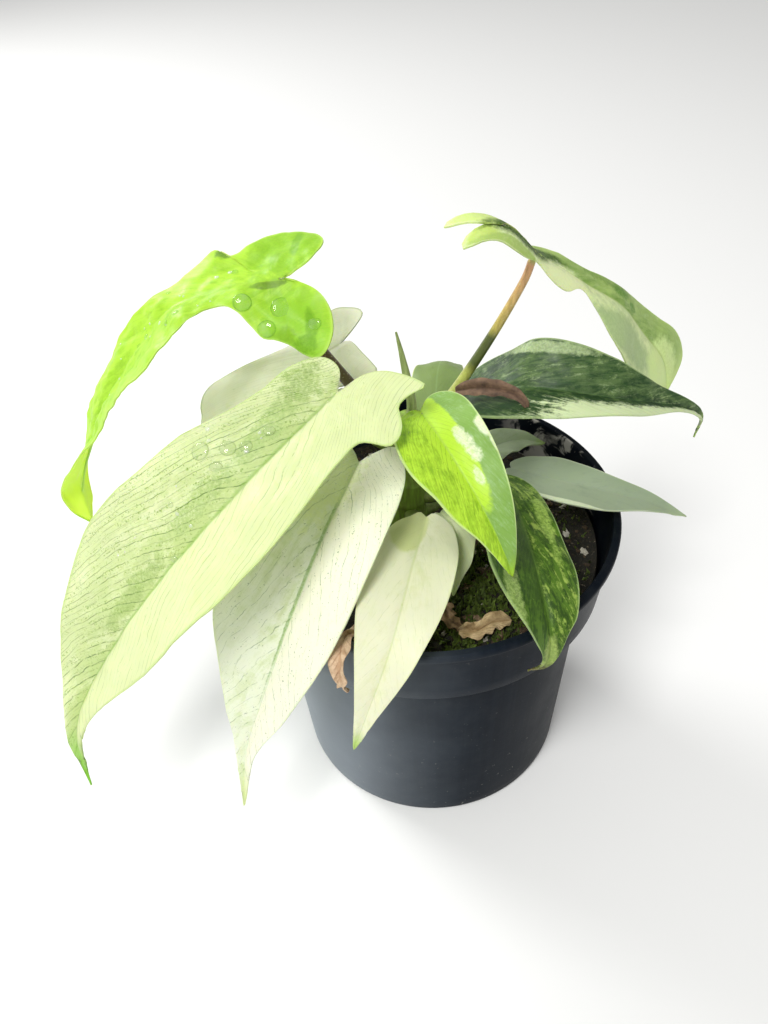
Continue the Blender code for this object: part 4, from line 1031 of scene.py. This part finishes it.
def stalk_material(leaf, top):
    """A stalk's skin. Top is the mark where the blade begins."""
    material = new_material(leaf + "_stalk_skin", 0.38, Coat_Weight=0.15, Subsurface_Weight=0.1,
                            Subsurface_Radius=(0.8, 1.0, 0.3), Subsurface_Scale=0.001)
    along = stored(material.node_tree, "along")
    place = own_place(material)
    tones = add_node("ValToRGB", (along,))
    ramp = tones.socket.node.color_ramp
    ramp.elements[0].position = 0.05 * top
    ramp.elements[1].position = top
    ramp.elements.new(0.5 * top)
    for stop, tone in zip(ramp.elements, STALK_TONES.get(leaf, PLAIN_STALK)):
        stop.color = colour(tone)
    streaks = streaks_up(place, 900.0, 0.12, 0.35, 0.7)
    shade = mixed(streaks * 0.45, tones, "#6B5A30")
    shade = mixed(span(cloud(place, 1400.0, 2.0), 0.62, 0.7) * 0.35, shade, "#D5DDA0")
    if leaf in DARK_RINGS:
        start, full, wane, end = [top * share for share in DARK_RINGS[leaf]]
        ring = span(along, start, full) * span(along, wane, end, 1.0, 0.0)
        shade = mixed(ring * 0.92, shade, "#3E4C20")
    near = top if leaf in LATE_RIBS else top - RIB_FADE
    rib_tone = RIB_TONES.get(leaf, LOOKS[leaf]["halves"][0])
    paint(material, Base_Color=mixed(span(along, near, near + RIB_FADE), shade, rib_tone))
    add_bump(material, streaks, 0.1, 0.5)
    return material


for name, form in LEAVES.items():
    piece, top = stalk_piece(BLADES[name], form["stalk"])
    finish_piece(piece, name + "_stalk", [stalk_material(name, top)], (name + "_petiole",))
print("stalks:", len(LEAVES))

# %% [markdown]
# The stem is short and thick, ringed by the scars of old leaves. It is one bevelled curve whose radius
# rises at each scar. The newest leaf stands on top of it, still rolled up like a scroll: its tube gets
# a spiral step, so that the outer edge of the roll shows.

# %% Stem and the rolled new leaf
SPIKE_ROUTE = ((-3.8, 3, 134), (-3.5, 3, 137), (-3.5, 3.2, 143), (-5.5, 4, 156), (-7, 4, 164))
SPIKE_RADII = (1.5, 1.4, 1.2, 0.75, 0.3)
SCAR_FROM, SCAR_EVERY, SCAR_RISE, SCAR_WIDTH = 88, 7.5, 0.35, 0.9
SCAR_MIDDLE = 3.7
ROLL_START, ROLL_TWIST = 0.25, 0.004
ROLL_INSIDE, ROLL_STEP = 0.82, 0.34


def scarred_radii(heights):
    """The stem's radii with a low ridge every few millimetres of height."""
    past = (heights - SCAR_FROM) % SCAR_EVERY - SCAR_MIDDLE
    ridges = SCAR_RISE * np.exp(-(past / SCAR_WIDTH)**2)
    return np.interp(heights, STEM_HEIGHTS, STEM_RADII) + ridges


def roll_up(piece, route):
    """Give a tube the spiral step of a rolled leaf."""
    for vertex in piece.data.vertices:
        spot = np.array(vertex.co[:]) / MM
        nearest = int(((route - spot)**2).sum(1).argmin())
        arm = spot - route[nearest]
        turn = (math.atan2(arm[1], arm[0]) / (2 * math.pi) + ROLL_START + nearest * ROLL_TWIST) % 1.0
        vertex.co = Vector(route[nearest] + arm * (ROLL_INSIDE + ROLL_STEP * turn)) * MM


def green_skin(name, light, dark, roughness=0.42):
    """A plain green skin with soft lengthwise streaks."""
    material = new_material(name, roughness, Coat_Weight=0.1)
    streaks = streaks_up(own_place(material), 700.0, 0.15, 0.3, 0.7)
    paint(material, Base_Color=mixed(streaks, light, dark))
    add_bump(material, streaks, 0.15, 0.5)
    return material


route, _ = smooth_curve(STEM_ROUTE, 120)
stem = tube_piece(route, scarred_radii(route[:, 2]), 32)
skin = green_skin("stem_skin", "#9CC050", "#6A7030", 0.5)
finish_piece(stem, "stem_with_scars", [skin], ("stem",))

route, _ = smooth_curve(SPIKE_ROUTE, 70)
spike = tube_piece(route, np.interp(np.linspace(0, 1, 70), np.linspace(0, 1, 5), SPIKE_RADII), 28)
roll_up(spike, route)
skin = green_skin("spike_skin", "#A6B672", "#6E8040")
finish_piece(spike, "rolled_new_leaf", [skin], ("new_leaf_spike",), crease=40)
print("stem and rolled leaf made")

# %% [markdown]
# Four dead scraps lie on the plant: a papery sheath at the crown, a curled leaf over the rim and two on
# the soil. They are blades too, but thin, crumpled and brown. Dry tissue cockles strongly, so their
# relief has large dents, and their colour runs from tan to dark along the veins.

# %% Dry scraps
DRY_SKIN = dict(waves=5, curl=1.0, side_veins=6)
DRY_THICKNESS = 0.35
DRY_GRID = (60, 12)
DRY = {
    "dry_sheath": ("#826650", "#46342A", dict(dents=0.3, wave=0.2, quilt=0.0)),
    "dry_leaf_on_rim": ("#E8CCAA", "#B08A66", dict(dents=1.2, wave=0.9, quilt=0.2)),
    "dry_leaf_on_soil": ("#D8BE90", "#90744A", dict(dents=1.2, wave=0.7, quilt=0.1)),
    "dry_curl": ("#B09068", "#584228", dict(dents=1.0, wave=0.7, quilt=0.1)),
}


def dry_material(name, light, dark, veined):
    """Papery dead tissue."""
    material = new_material(name, 0.8)
    place = own_place(material)
    across, _, vein, reach = leaf_coordinates(material.node_tree)
    veins = use_group(VEINS, Vein=vein, Across=across, Place=place, Count=14.0, Width=0.4, Gaps=0.3)["Main"]
    blot = span(cloud(place, 260.0, 5.0, 0.65), 0.35, 0.68)
    shade = mixed(veins * (0.3 if veined else 0.0), mixed(blot, light, dark), dark)
    paint(material, Base_Color=mixed(span(reach, 0.0, 0.12, 0.5, 0.0), shade, dark))
    add_bump(material, blot + veins if veined else blot, 0.3, 0.7)
    return material


for name, form in SCRAPS.items():
    light, dark, crumple = DRY[name]
    piece, _ = blade_piece(form, dict(DRY_SKIN, **crumple), *DRY_GRID, DRY_THICKNESS)
    paper = dry_material(name + "_paper", light, dark, veined=name != "dry_sheath")
    slot = "sheath_brown" if name == "dry_sheath" else "dry_leaf_tan"
    stands_for = (name,) if name != "dry_curl" else ()
    finish_piece(piece, name + "_crumpled", [paper, paper], stands_for)
print("dry scraps:", len(SCRAPS))

# %% [markdown]
# The pot is an injection moulded nursery pot: a thin tapered wall, a wider band under a rolled lip, and
# a flat base with drain holes. A turned form like this can be drawn ring by ring: a circle is extruded
# up the outside, over the lip, down the inside and across the floor, and each new ring is scaled to
# its radius. The two small openings left in the middle are then filled.

# %% Pot
POT_SIDES = 160
POT_OUTSIDE = (
    (4, 0.9), (20, 0.9), (42.5, 0.9), (44.0, 0.6), (44.8, 0.1), (45.4, 0), (46.0, 0), (46.7, 0.3),
    (47.2, 0.9), (47.4, 1.6), (47.6, 5), (48.4, 20), (49.4, 40), (50.4, 60), (51.2, 75), (51.4, 78.1),
    (51.7, 78.7), (52.6, 79.2), (55.2, 79.9), (56.1, 80.3), (56.4, 80.9), (56.8, 85), (57.6, 93),
    (58.3, 100.4), (58.45, 101.0), (58.8, 101.25), (59.5, 101.3), (59.85, 101.5), (60, 101.9),
    (60, 103.2), (59.8, 103.7), (59.4, 104), (58.0, 104), (57.6, 103.9), (57.4, 103.6), (57.3, 103))
POT_INSIDE = (
    (57.1, 101.5), (56.2, 93), (55.0, 81.4), (54.2, 80.7), (51.4, 79.8), (50.2, 79.2), (50.0, 78.4),
    (49.0, 60), (47.0, 20), (46.0, 4.0), (45.4, 2.4), (44.0, 1.8), (20, 1.8), (4, 1.8))
DRAIN_HOLES = 6
DRAIN_RADIUS = 4.5
DRAIN_DEPTH = 12
DRAIN_CIRCLE = 31.0


def turned_piece(rings, sides):
    """A closed turned form. Rings are (radius, height) in mm, from one middle round to the other."""
    radius, height = rings[0]
    piece = add(bpy.ops.mesh.primitive_circle_add, vertices=sides, radius=radius * MM,
                location=(0, 0, height * MM))
    bpy.ops.object.transform_apply(location=True)
    bpy.ops.object.mode_set(mode="EDIT")
    bpy.ops.mesh.select_all(action="SELECT")
    for next_radius, next_height in rings[1:]:
        step = (0, 0, (next_height - height) * MM)
        bpy.ops.mesh.extrude_edges_move(TRANSFORM_OT_translate={"value": step})
        scale = next_radius / radius
        bpy.ops.transform.resize(value=(scale, scale, 1), center_override=(0, 0, next_height * MM))
        radius, height = next_radius, next_height
    bpy.ops.mesh.select_all(action="SELECT")
    bpy.ops.mesh.fill_holes(sides=0)
    bpy.ops.mesh.select_all(action="SELECT")
    bpy.ops.mesh.normals_make_consistent(inside=False)
    bpy.ops.object.mode_set(mode="OBJECT")
    return piece


def drill(piece, x, y, radius, depth):
    """Cut a round hole through the floor of a piece, at x and y in mm."""
    cutter = add(bpy.ops.mesh.primitive_cylinder_add, vertices=32, radius=radius * MM, depth=depth * MM,
                 location=(x * MM, y * MM, 0))
    cut = piece.modifiers.new("Hole", "BOOLEAN")
    cut.operation = "DIFFERENCE"
    cut.solver = "EXACT"
    cut.object = cutter
    apply_modifiers(piece)
    bpy.data.objects.remove(cutter, do_unlink=True)


pot = turned_piece(POT_OUTSIDE + POT_INSIDE, POT_SIDES)
for hole in range(DRAIN_HOLES):
    turn = 2 * math.pi * hole / DRAIN_HOLES
    drill(pot, DRAIN_CIRCLE * math.cos(turn), DRAIN_CIRCLE * math.sin(turn), DRAIN_RADIUS, DRAIN_DEPTH)
print("pot:", len(pot.data.polygons), "faces,", [round(value / MM, 1) for value in pot.dimensions], "mm")

# %% [markdown]
# Dark nursery plastic is never quite even. It has a fine grain, faint upright flow marks from the mould,
# dull patches where hands have rubbed it, and pale specks of lime and soil left by watering. On the
# inner wall, above the soil, a pale painted reflection lies at one place. A painted sheen lies on the
# left side and fades softly towards the front, and painted shade keeps the right side darkest. Both
# are drawn by the share of a point's distance from the middle that lies to the left.

# %% Pot plastic
# Way and ranges of the painted sheen on the left and the painted shade on the right, and where the painted
# reflection lies.
SHEEN_AND_SHADE_WAY = (-0.95, -0.3)
PAINTED_SHEEN_FADE = (0.06, 1.06)
PAINTED_SHADE_FADE = (0.3, -0.8)
INNER_FROM = (0.084, 0.088)
INNER_WALL = (0.0474, 0.0478)
PAINTED_REFLECTION_TURN = 0.62


def pot_plastic():
    """Dark slate plastic with flow marks, rubbed patches, dust and water specks, painted sheen, shade and
    reflection.
    """
    material = new_material("pot_slate_plastic", 0.4, Specular_IOR_Level=0.03)
    place = own_place(material)
    x, y, height = parts(place)
    turn = maths("ARCTAN2", y, x)
    flow = cloud(joined(turn * 26.0, height * 9.0), 1.0, 4.0, 0.6)
    rubbed = cloud(place, 38.0, 5.0, 0.6)
    shade = mixed(span(flow, 0.3, 0.7), "#151B23", "#1B222B")
    shade = mixed(span(rubbed, 0.35, 0.75, 0.0, 0.5), shade, "#1E262F")
    away = maths("SQRT", x * x + y * y)
    leftward = (x * SHEEN_AND_SHADE_WAY[0] + y * SHEEN_AND_SHADE_WAY[1]) / away
    side = rubbed * 0.2 + leftward
    # Painted shade: the right side is darkened towards near black.
    shade = mixed(span(side, *PAINTED_SHADE_FADE, 0.0, 0.85), shade, "#0A0E14")
    # Painted sheen: the left side is lightened towards pale grey, fading towards the front.
    shade = mixed(maths("POWER", span(side, *PAINTED_SHEEN_FADE), 2.0) * 0.97, shade, "#8F98A0")
    specks = span(cloud(place, 620.0, 3.0, 0.7), 0.67, 0.73)
    shade = mixed(specks * span(height, 0.0, 0.05, 0.55, 0.12), shade, "#A9A79C")
    dust = span(cloud(place, 150.0, 5.0, 0.7), 0.45, 0.75, 0.0, 0.025)
    shade = mixed(dust, shade, "#8C8A80")
    # Painted reflection: a pale patch on the inner wall above the soil, on one side.
    inner = span(height, *INNER_FROM) * span(height * -0.1 + away, *INNER_WALL, 1.0, 0.0)
    facing = span(abs(turn - PAINTED_REFLECTION_TURN), 0.25, 0.5, 1.0, 0.0)
    scale = span(cloud(place, 95.0, 6.0, 0.6, 0.8), 0.5, 0.58, 0.0, 0.75)
    shade = mixed(inner * facing * scale, shade, "#B4B0AA")
    paint(material, Base_Color=shade, Roughness=span(rubbed, 0.3, 0.7, 0.3, 0.42) + dust * 0.8)
    add_bump(material, flow * 0.6 + cloud(place, 1800.0, 2.0) * 0.25, 0.12, 0.5)
    return material


finish_piece(pot, "nursery_pot", [pot_plastic()], ("pot",), crease=35)

# %% [markdown]
# The soil fills the pot to about 14 mm under its lip. Its body is turned like the pot, and its top is
# then raised by noise, with a mound where moss grows in front. On it lie things of several kinds, each
# modelled once and strewn with a seeded random number: bark chips, pale pumice, crumbs and moss shoots.

# %% Soil body
SOIL_TOP = 89.5
SOIL_RADIUS = 55.2
SOIL_MARGIN = 4.0
MOSS_CENTRE = (17.0, -33.0)
MOSS_RADIUS = 22.0
MOSS_RISE = 5.0
SOIL_SIDES = 144
TOP_RINGS = np.arange(2.0, 54.8, 0.9)
CRUMBLE_LAYERS = ((0.8, 0.5), (0.5, 1.3), (0.25, 3.1))
SOIL_EDGE = (
    (54.6, 87.5), (54.0, 82.0), (53.0, 81.0), (50.2, 80.0), (49.3, 78.6), (46.4, 22), (45.2, 5),
    (43.2, 2.2), (20, 2.2), (4, 2.2))


def soil_rise(x, y):
    """Height in mm of the soil's top over its mean."""
    lumps = 1.3 * noise.noise(Vector((x * 0.09, y * 0.09, 3.1)))
    lumps += 0.7 * noise.noise(Vector((x * 0.23, y * 0.23, 7.7)))
    away = math.hypot(x - MOSS_CENTRE[0], y - MOSS_CENTRE[1]) / MOSS_RADIUS
    return lumps + MOSS_RISE * max(0.0, 1.0 - away * away)**1.2


def crumble(x, y):
    """Fine unevenness of the soil's top, in mm."""
    return layered((x, y, 2.0), CRUMBLE_LAYERS)


soil = turned_piece([*[(radius, SOIL_TOP) for radius in TOP_RINGS], *SOIL_EDGE], SOIL_SIDES)
for vertex in soil.data.vertices:
    if vertex.co.z > (SOIL_TOP - 0.1) * MM:
        x, y = vertex.co.x / MM, vertex.co.y / MM
        fade = min(1.0, max(0.0, (SOIL_RADIUS - math.hypot(x, y)) / SOIL_MARGIN))
        vertex.co.z += fade * (soil_rise(x, y) + crumble(x, y)) * MM
print("soil body:", len(soil.data.polygons), "faces")

# %% [markdown]
# Each loose bit starts as a small icosphere or cone, is pulled out of round or drawn out, and is then
# strewn. All copies of a kind are kept in one mesh, because thousands of separate objects would be slow,
# and each copy carries its own random shade, which the material reads to vary its tone.

# %% Strewn bits
CROWN = (-6.5, 2.0)
CROWN_CLEARANCE = 8.5


def strewn(source, matrices, name):
    """One piece holding a copy of the source for every matrix, and a random shade for each copy."""
    spots = np.insert(corners(source), 3, 1.0, axis=1)
    faces = np.array([list(face.vertices) for face in source.data.polygons])
    all_spots = np.vstack([spots @ np.array(matrix).T[:, :3] for matrix in matrices])
    all_faces = np.vstack([faces + k * len(spots) for k in range(len(matrices))])
    mesh = bpy.data.meshes.new(name)
    mesh.from_pydata(all_spots.tolist(), [], all_faces.tolist())
    piece = bpy.data.objects.new(name, mesh)
    bpy.context.scene.collection.objects.link(piece)
    store(piece, "shade", np.repeat([random.random() for _ in matrices], len(spots)))
    bpy.data.objects.remove(source, do_unlink=True)
    return piece


def rough_stone(roughness, detail):
    """A pebble of about 1 mm radius, pulled out of round."""
    stone = add(bpy.ops.mesh.primitive_ico_sphere_add, subdivisions=detail, radius=MM)
    for vertex in stone.data.vertices:
        vertex.co *= 1.0 + roughness * noise.noise(vertex.co.normalized() * 1.9)
    return stone


def laid(x, y, sizes, sink, tilt=0.5):
    """A matrix that lays a copy on the soil at x and y, turned at random."""
    height = SOIL_TOP + soil_rise(x, y) + crumble(x, y) - sink
    limits = (("Z", 0, 2 * math.pi), ("X", -tilt, tilt), ("Y", -tilt, tilt))
    turn, lean, roll = [Matrix.Rotation(random.uniform(low, high), 4, axis) for axis, low, high in limits]
    place = Matrix.Translation(Vector((x, y, height)) * MM)
    return place @ turn @ (lean @ roll) @ Matrix.Diagonal((*sizes, 1.0))


def soil_spots(count, inner, outer, centre=(0, 0), reach=None, crowding=0.5):
    """Random places on the soil, between two radii and round a centre, clear of the crown."""
    spots = []
    while len(spots) < count:
        angle, away = random.uniform(0, 2 * math.pi), (reach or outer) * random.random()**crowding
        x, y = centre[0] + away * math.cos(angle), centre[1] + away * math.sin(angle)
        if inner < math.hypot(x, y) < outer and math.hypot(x - CROWN[0], y - CROWN[1]) > CROWN_CLEARANCE:
            spots.append((x, y))
    return spots


def size(low, high, flat=1.0):
    """Random sizes along three axes, the third flattened."""
    long = random.uniform(low, high)
    return (long, long * random.uniform(0.5, 0.9), long * random.uniform(0.4, 0.7) * flat)


def shoots(spots, low, high):
    """Matrices that stand moss shoots of random size on the soil."""
    sizes = [random.uniform(low, high) for _ in spots]
    return [laid(x, y, (size, size, size), 0.2, 0.6) for (x, y), size in zip(spots, sizes)]


def moss_shoot():
    """One moss shoot: a small cone whose rings of faces are drawn out into leaf points."""
    shoot = add(bpy.ops.mesh.primitive_cone_add, vertices=6, radius1=0.3 * MM, radius2=0.02 * MM,
                depth=2.6 * MM, location=(0, 0, 1.0 * MM), end_fill_type="NOTHING")
    bpy.ops.object.transform_apply(location=True)
    bpy.ops.object.mode_set(mode="EDIT")
    bpy.ops.mesh.select_all(action="SELECT")
    bpy.ops.mesh.subdivide(number_cuts=2)
    bpy.ops.object.mode_set(mode="OBJECT")
    for vertex in shoot.data.vertices:
        angle = math.atan2(vertex.co.y, vertex.co.x)
        ring = vertex.co.z / MM
        out = 1.0 + 2.6 * max(0.0, math.cos(3 * angle + 2.4 * ring)) * (1.0 if ring > -0.1 else 0.0)
        vertex.co.x *= out
        vertex.co.y *= out
    return shoot


CHIPS = [laid(x, y, size(2.6, 5.2, 0.6), 0.3, 0.35) for x, y in soil_spots(46, 12, 50)]
PUMICE = [laid(x, y, size(0.9, 2.2), 0.2) for x, y in soil_spots(90, 9, 52)]
CRUMBS = [laid(x, y, size(0.5, 1.4), 0.1) for x, y in soil_spots(1100, 8, 53)]
SHOOTS = shoots(soil_spots(1500, 8, 53, MOSS_CENTRE, 30, 0.6), 0.7, 1.5)
SHOOTS += shoots(soil_spots(500, 8, 53), 0.5, 1.1)
print("strewn bits:", len(CHIPS) + len(PUMICE) + len(CRUMBS) + len(SHOOTS))

# %% [markdown]
# Damp soil is nearly black, with warm brown bark and near white pumice in it. One recipe serves all the
# loose bits: two tones mixed by the copy's own shade and by noise, over a rough bump.

# %% Soil finishes
def bit_material(name, dark, light, speck=None, roughness=0.9, spread=0.6):
    """Finish for strewn bits: two tones, mixed by each copy's shade and by fine noise."""
    material = new_material(name, roughness)
    place = own_place(material)
    fine = cloud(place, 900.0, 5.0, 0.65)
    blend = stored(material.node_tree, "shade") * spread + span(fine, 0.35, 0.7, 0.0, 1.0 - spread)
    shade = mixed(blend, dark, light)
    if speck:
        shade = mixed(span(cloud(place, 1500.0, 2.0), 0.6, 0.66) * 0.6, shade, speck)
    paint(material, Base_Color=shade)
    add_bump(material, fine, 0.4, 0.8)
    return material


def soil_material():
    """Dark damp soil with brown and green patches."""
    material = new_material("damp_soil", 0.95)
    place = own_place(material)
    fine = cloud(place, 700.0, 6.0, 0.7)
    shade = mixed(span(cloud(place, 60.0, 5.0, 0.6), 0.4, 0.65), "#120F0B", "#1C1910")
    shade = mixed(span(fine, 0.5, 0.7), shade, "#33291B")
    shade = mixed(span(cloud(place, 1100.0, 2.0), 0.66, 0.7, 0.0, 0.5), shade, "#8A806A")
    paint(material, Base_Color=shade)
    add_bump(material, fine, 1.2, 1.0)
    return material


def strew(name, source, matrices, material, crease=30):
    """Finish all the bits of one kind as one piece."""
    finish_piece(strewn(source, matrices, name), name, [material], crease=crease)


finish_piece(soil, "soil_body", [soil_material()], ("soil",))
strew("bark_chips", rough_stone(1.1, 2), CHIPS, bit_material("bark", "#21160E", "#66503A", "#9A8668"))
strew("pumice_bits", rough_stone(0.9, 2), PUMICE, bit_material("pumice", "#8A8270", "#E4E0D2", "#6E6654"))
strew("soil_crumbs", rough_stone(1.0, 1), CRUMBS, bit_material("crumbs", "#100C08", "#4A3A26"))
moss = bit_material("moss", "#142006", "#64781F", roughness=0.7, spread=0.45)
strew("moss_shoots", moss_shoot(), SHOOTS, moss, crease=0)
print("soil pieces finished")

# %% [markdown]
# The plant was misted, and drops sit on the two large leaves on the left. A drop is a low dome. It is
# modelled once as a flattened sphere, and each copy is laid on the leaf by a ray shot down at it, which
# also gives the leaf's own slope there. The few large drops stand where the photo shows them, and the
# fine ones are strewn. Light bends most at a drop's foot and leaves a dark rim there, so each vertex
# stores its height on the dome, from 0 to 1.

# %% Water drops
# Large drops are (along, across, radius in mm). Fine ones are strewn over a range of along and across.
LARGE_DROPS = {
    "lime_leaf": (
        (0.082, -0.054, 2.6), (0.005, -0.064, 3.2), (0.038, -0.107, 2.6), (-0.06, -0.11, 2.0),
        (0.378, 0.0, 1.1), (0.239, -0.046, 1.0), (0.278, -0.046, 0.9), (0.41, 0.0, 0.9),
        (0.273, 0.046, 0.8), (0.112, 0.046, 1.0)),
    "big_mint_leaf": (
        (0.223, 0.088, 2.6), (0.187, 0.058, 2.2), (0.165, 0.04, 1.8), (0.122, 0.031, 1.6),
        (0.222, 0.05, 1.8), (0.335, 0.069, 1.0), (0.395, 0.003, 1.2)),
}
FINE_DROPS = {"lime_leaf": (16, 0.08, 0.6, -0.06, 0.06), "big_mint_leaf": (12, 0.12, 0.5, 0.01, 0.11)}
WATER_TONES = {"lime_leaf": ("#9EDA34", "#7CBC20"), "big_mint_leaf": ("#C8DC98", "#8CA860")}
RAY_HEIGHT = 8
RIM_EXTRA = 0.16


def drop_matrix(piece, blade, along, across, radius):
    """A matrix that lays a drop on a leaf, or nothing where the leaf isn't met."""
    place = blade.place(np.array(along), np.array(across))
    up = blade.frame_at(np.array(along))[2]
    start = Vector(place + RAY_HEIGHT * up) * MM
    hit, spot, normal, _ = piece.ray_cast(start, Vector(-up), distance=2 * RAY_HEIGHT * MM)
    if not hit:
        return None
    turn = Vector((0, 0, 1)).rotation_difference(normal).to_matrix().to_4x4()
    scale = Matrix.Diagonal((radius, radius * random.uniform(0.75, 0.95), 0.35 * radius**0.7, 1.0))
    return Matrix.Translation(spot) @ turn @ scale


def fine_spots(count, low, high, left, right):
    """Random spots for fine drops on one part of a leaf."""
    return [(random.uniform(low, high), random.uniform(left, right), 0.3 + 0.5 * random.random()**2)
            for _ in range(count)]


def water(name, tint, rim_tone, alpha):
    """A clear glossy film over the leaf's own tone, with painted white highlights, darker at its rim."""
    material = new_material(name, 0.04, Coat_Weight=1.0, Coat_Roughness=0.02)
    # Painted highlight: noise lightens the drop's tone towards white in places.
    painted_glint = span(cloud(own_place(material), 400.0), 0.4, 0.8, 0.0, 0.4)
    rim = span(stored(material.node_tree, "dome"), 0.2, 0.6, 1.0, 0.0)
    paint(material, Base_Color=mixed(rim, mixed(painted_glint, tint, "#FFFFFF"), rim_tone),
          Alpha=span(rim, 0.0, 1.0, alpha, alpha + RIM_EXTRA))
    return material


def drops_piece(leaf, name, spots, skin):
    """All drops of one kind on a leaf, as one piece. Spots are (along, across, radius)."""
    dome = add(bpy.ops.mesh.primitive_ico_sphere_add, subdivisions=3, radius=MM)
    matrices = [drop_matrix(bpy.data.objects[leaf], BLADES[leaf], *values) for values in spots]
    matrices = [matrix for matrix in matrices if matrix]
    heights = np.tile(corners(dome)[:, 2] / MM, len(matrices))
    drops = strewn(dome, matrices, name)
    store(drops, "dome", heights)
    finish_piece(drops, name, [skin])


FINE_WATER = water("fine_water", "#F6FAEC", "#F6FAEC", 0.4)
for name, tones in WATER_TONES.items():
    drops_piece(name, name + "_drops", LARGE_DROPS[name], water(name + "_water", *tones, 0.24))
    drops_piece(name, name + "_fine_drops", fine_spots(*FINE_DROPS[name]), FINE_WATER)
print("drops on", len(LARGE_DROPS), "leaves")

# %% [markdown]
# The floor is plain and pale. The photo was taken in bright light from high in front, so one soft lamp
# stands there. Another, as strong but farther away, stands behind on the left and lights the hanging
# leaves through their tissue.

# %% Floor, lights and camera
# Name, place and aim in metres, size in metres, power in watts.
LAMPS = (("key_front_left", (-0.28, -0.58, 1.07), (0, 0, 0.1), 0.4, 9),
         ("back_left", (-0.9, 0.65, 0.7), (0, 0, 0.12), 0.5, 9))
WORLD_STRENGTH = 0.5
CAMERA_PLACE = (0, -0.1985, 0.2855)
CAMERA_TURNS = ((3.857, "Z"), (47.231, "X"), (-3.982, "Z"))

floor = add(bpy.ops.mesh.primitive_plane_add, size=6.0, location=(0, 0, 0))
floor.name = "studio_floor"
floor.data.materials.append(new_material("pale_paper", 0.9, Base_Color="#F4F4F2"))
floor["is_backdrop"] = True

for name, place, aim, width, power in LAMPS:
    lamp = add(bpy.ops.object.light_add, type="AREA", location=place)
    lamp.name = name
    lamp.data.shape = "DISK"
    lamp.data.size = width
    lamp.data.energy = power
    lamp.rotation_euler = (Vector(aim) - Vector(place)).to_track_quat("-Z", "Y").to_euler()

world = bpy.data.worlds.new("pale_room")
world.use_nodes = True
room = world.node_tree.nodes["Background"].inputs
room["Color"].default_value = (1, 1, 1, 1)
room["Strength"].default_value = WORLD_STRENGTH
bpy.context.scene.world = world
bpy.context.scene.view_settings.view_transform = "Standard"

camera = add(bpy.ops.object.camera_add)
camera.name = "photo_camera"
camera.data.lens = 30
camera.data.sensor_width = 36
camera.data.clip_start = 0.01
pose = Matrix.Translation(CAMERA_PLACE)
for angle, axis in CAMERA_TURNS:
    pose = pose @ Matrix.Rotation(math.radians(angle), 4, axis)
camera.matrix_world = pose
bpy.context.scene.camera = camera

# %% Sizes and the end
seen_box = [list(corner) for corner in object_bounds()]
for axis, *ends in zip("XYZ", *seen_box, *CAD_BOX):
    low, high, cad_low, cad_high = [round(end / MM, 1) for end in ends]
    print(axis, "visual", low, high, "CAD", cad_low, cad_high)
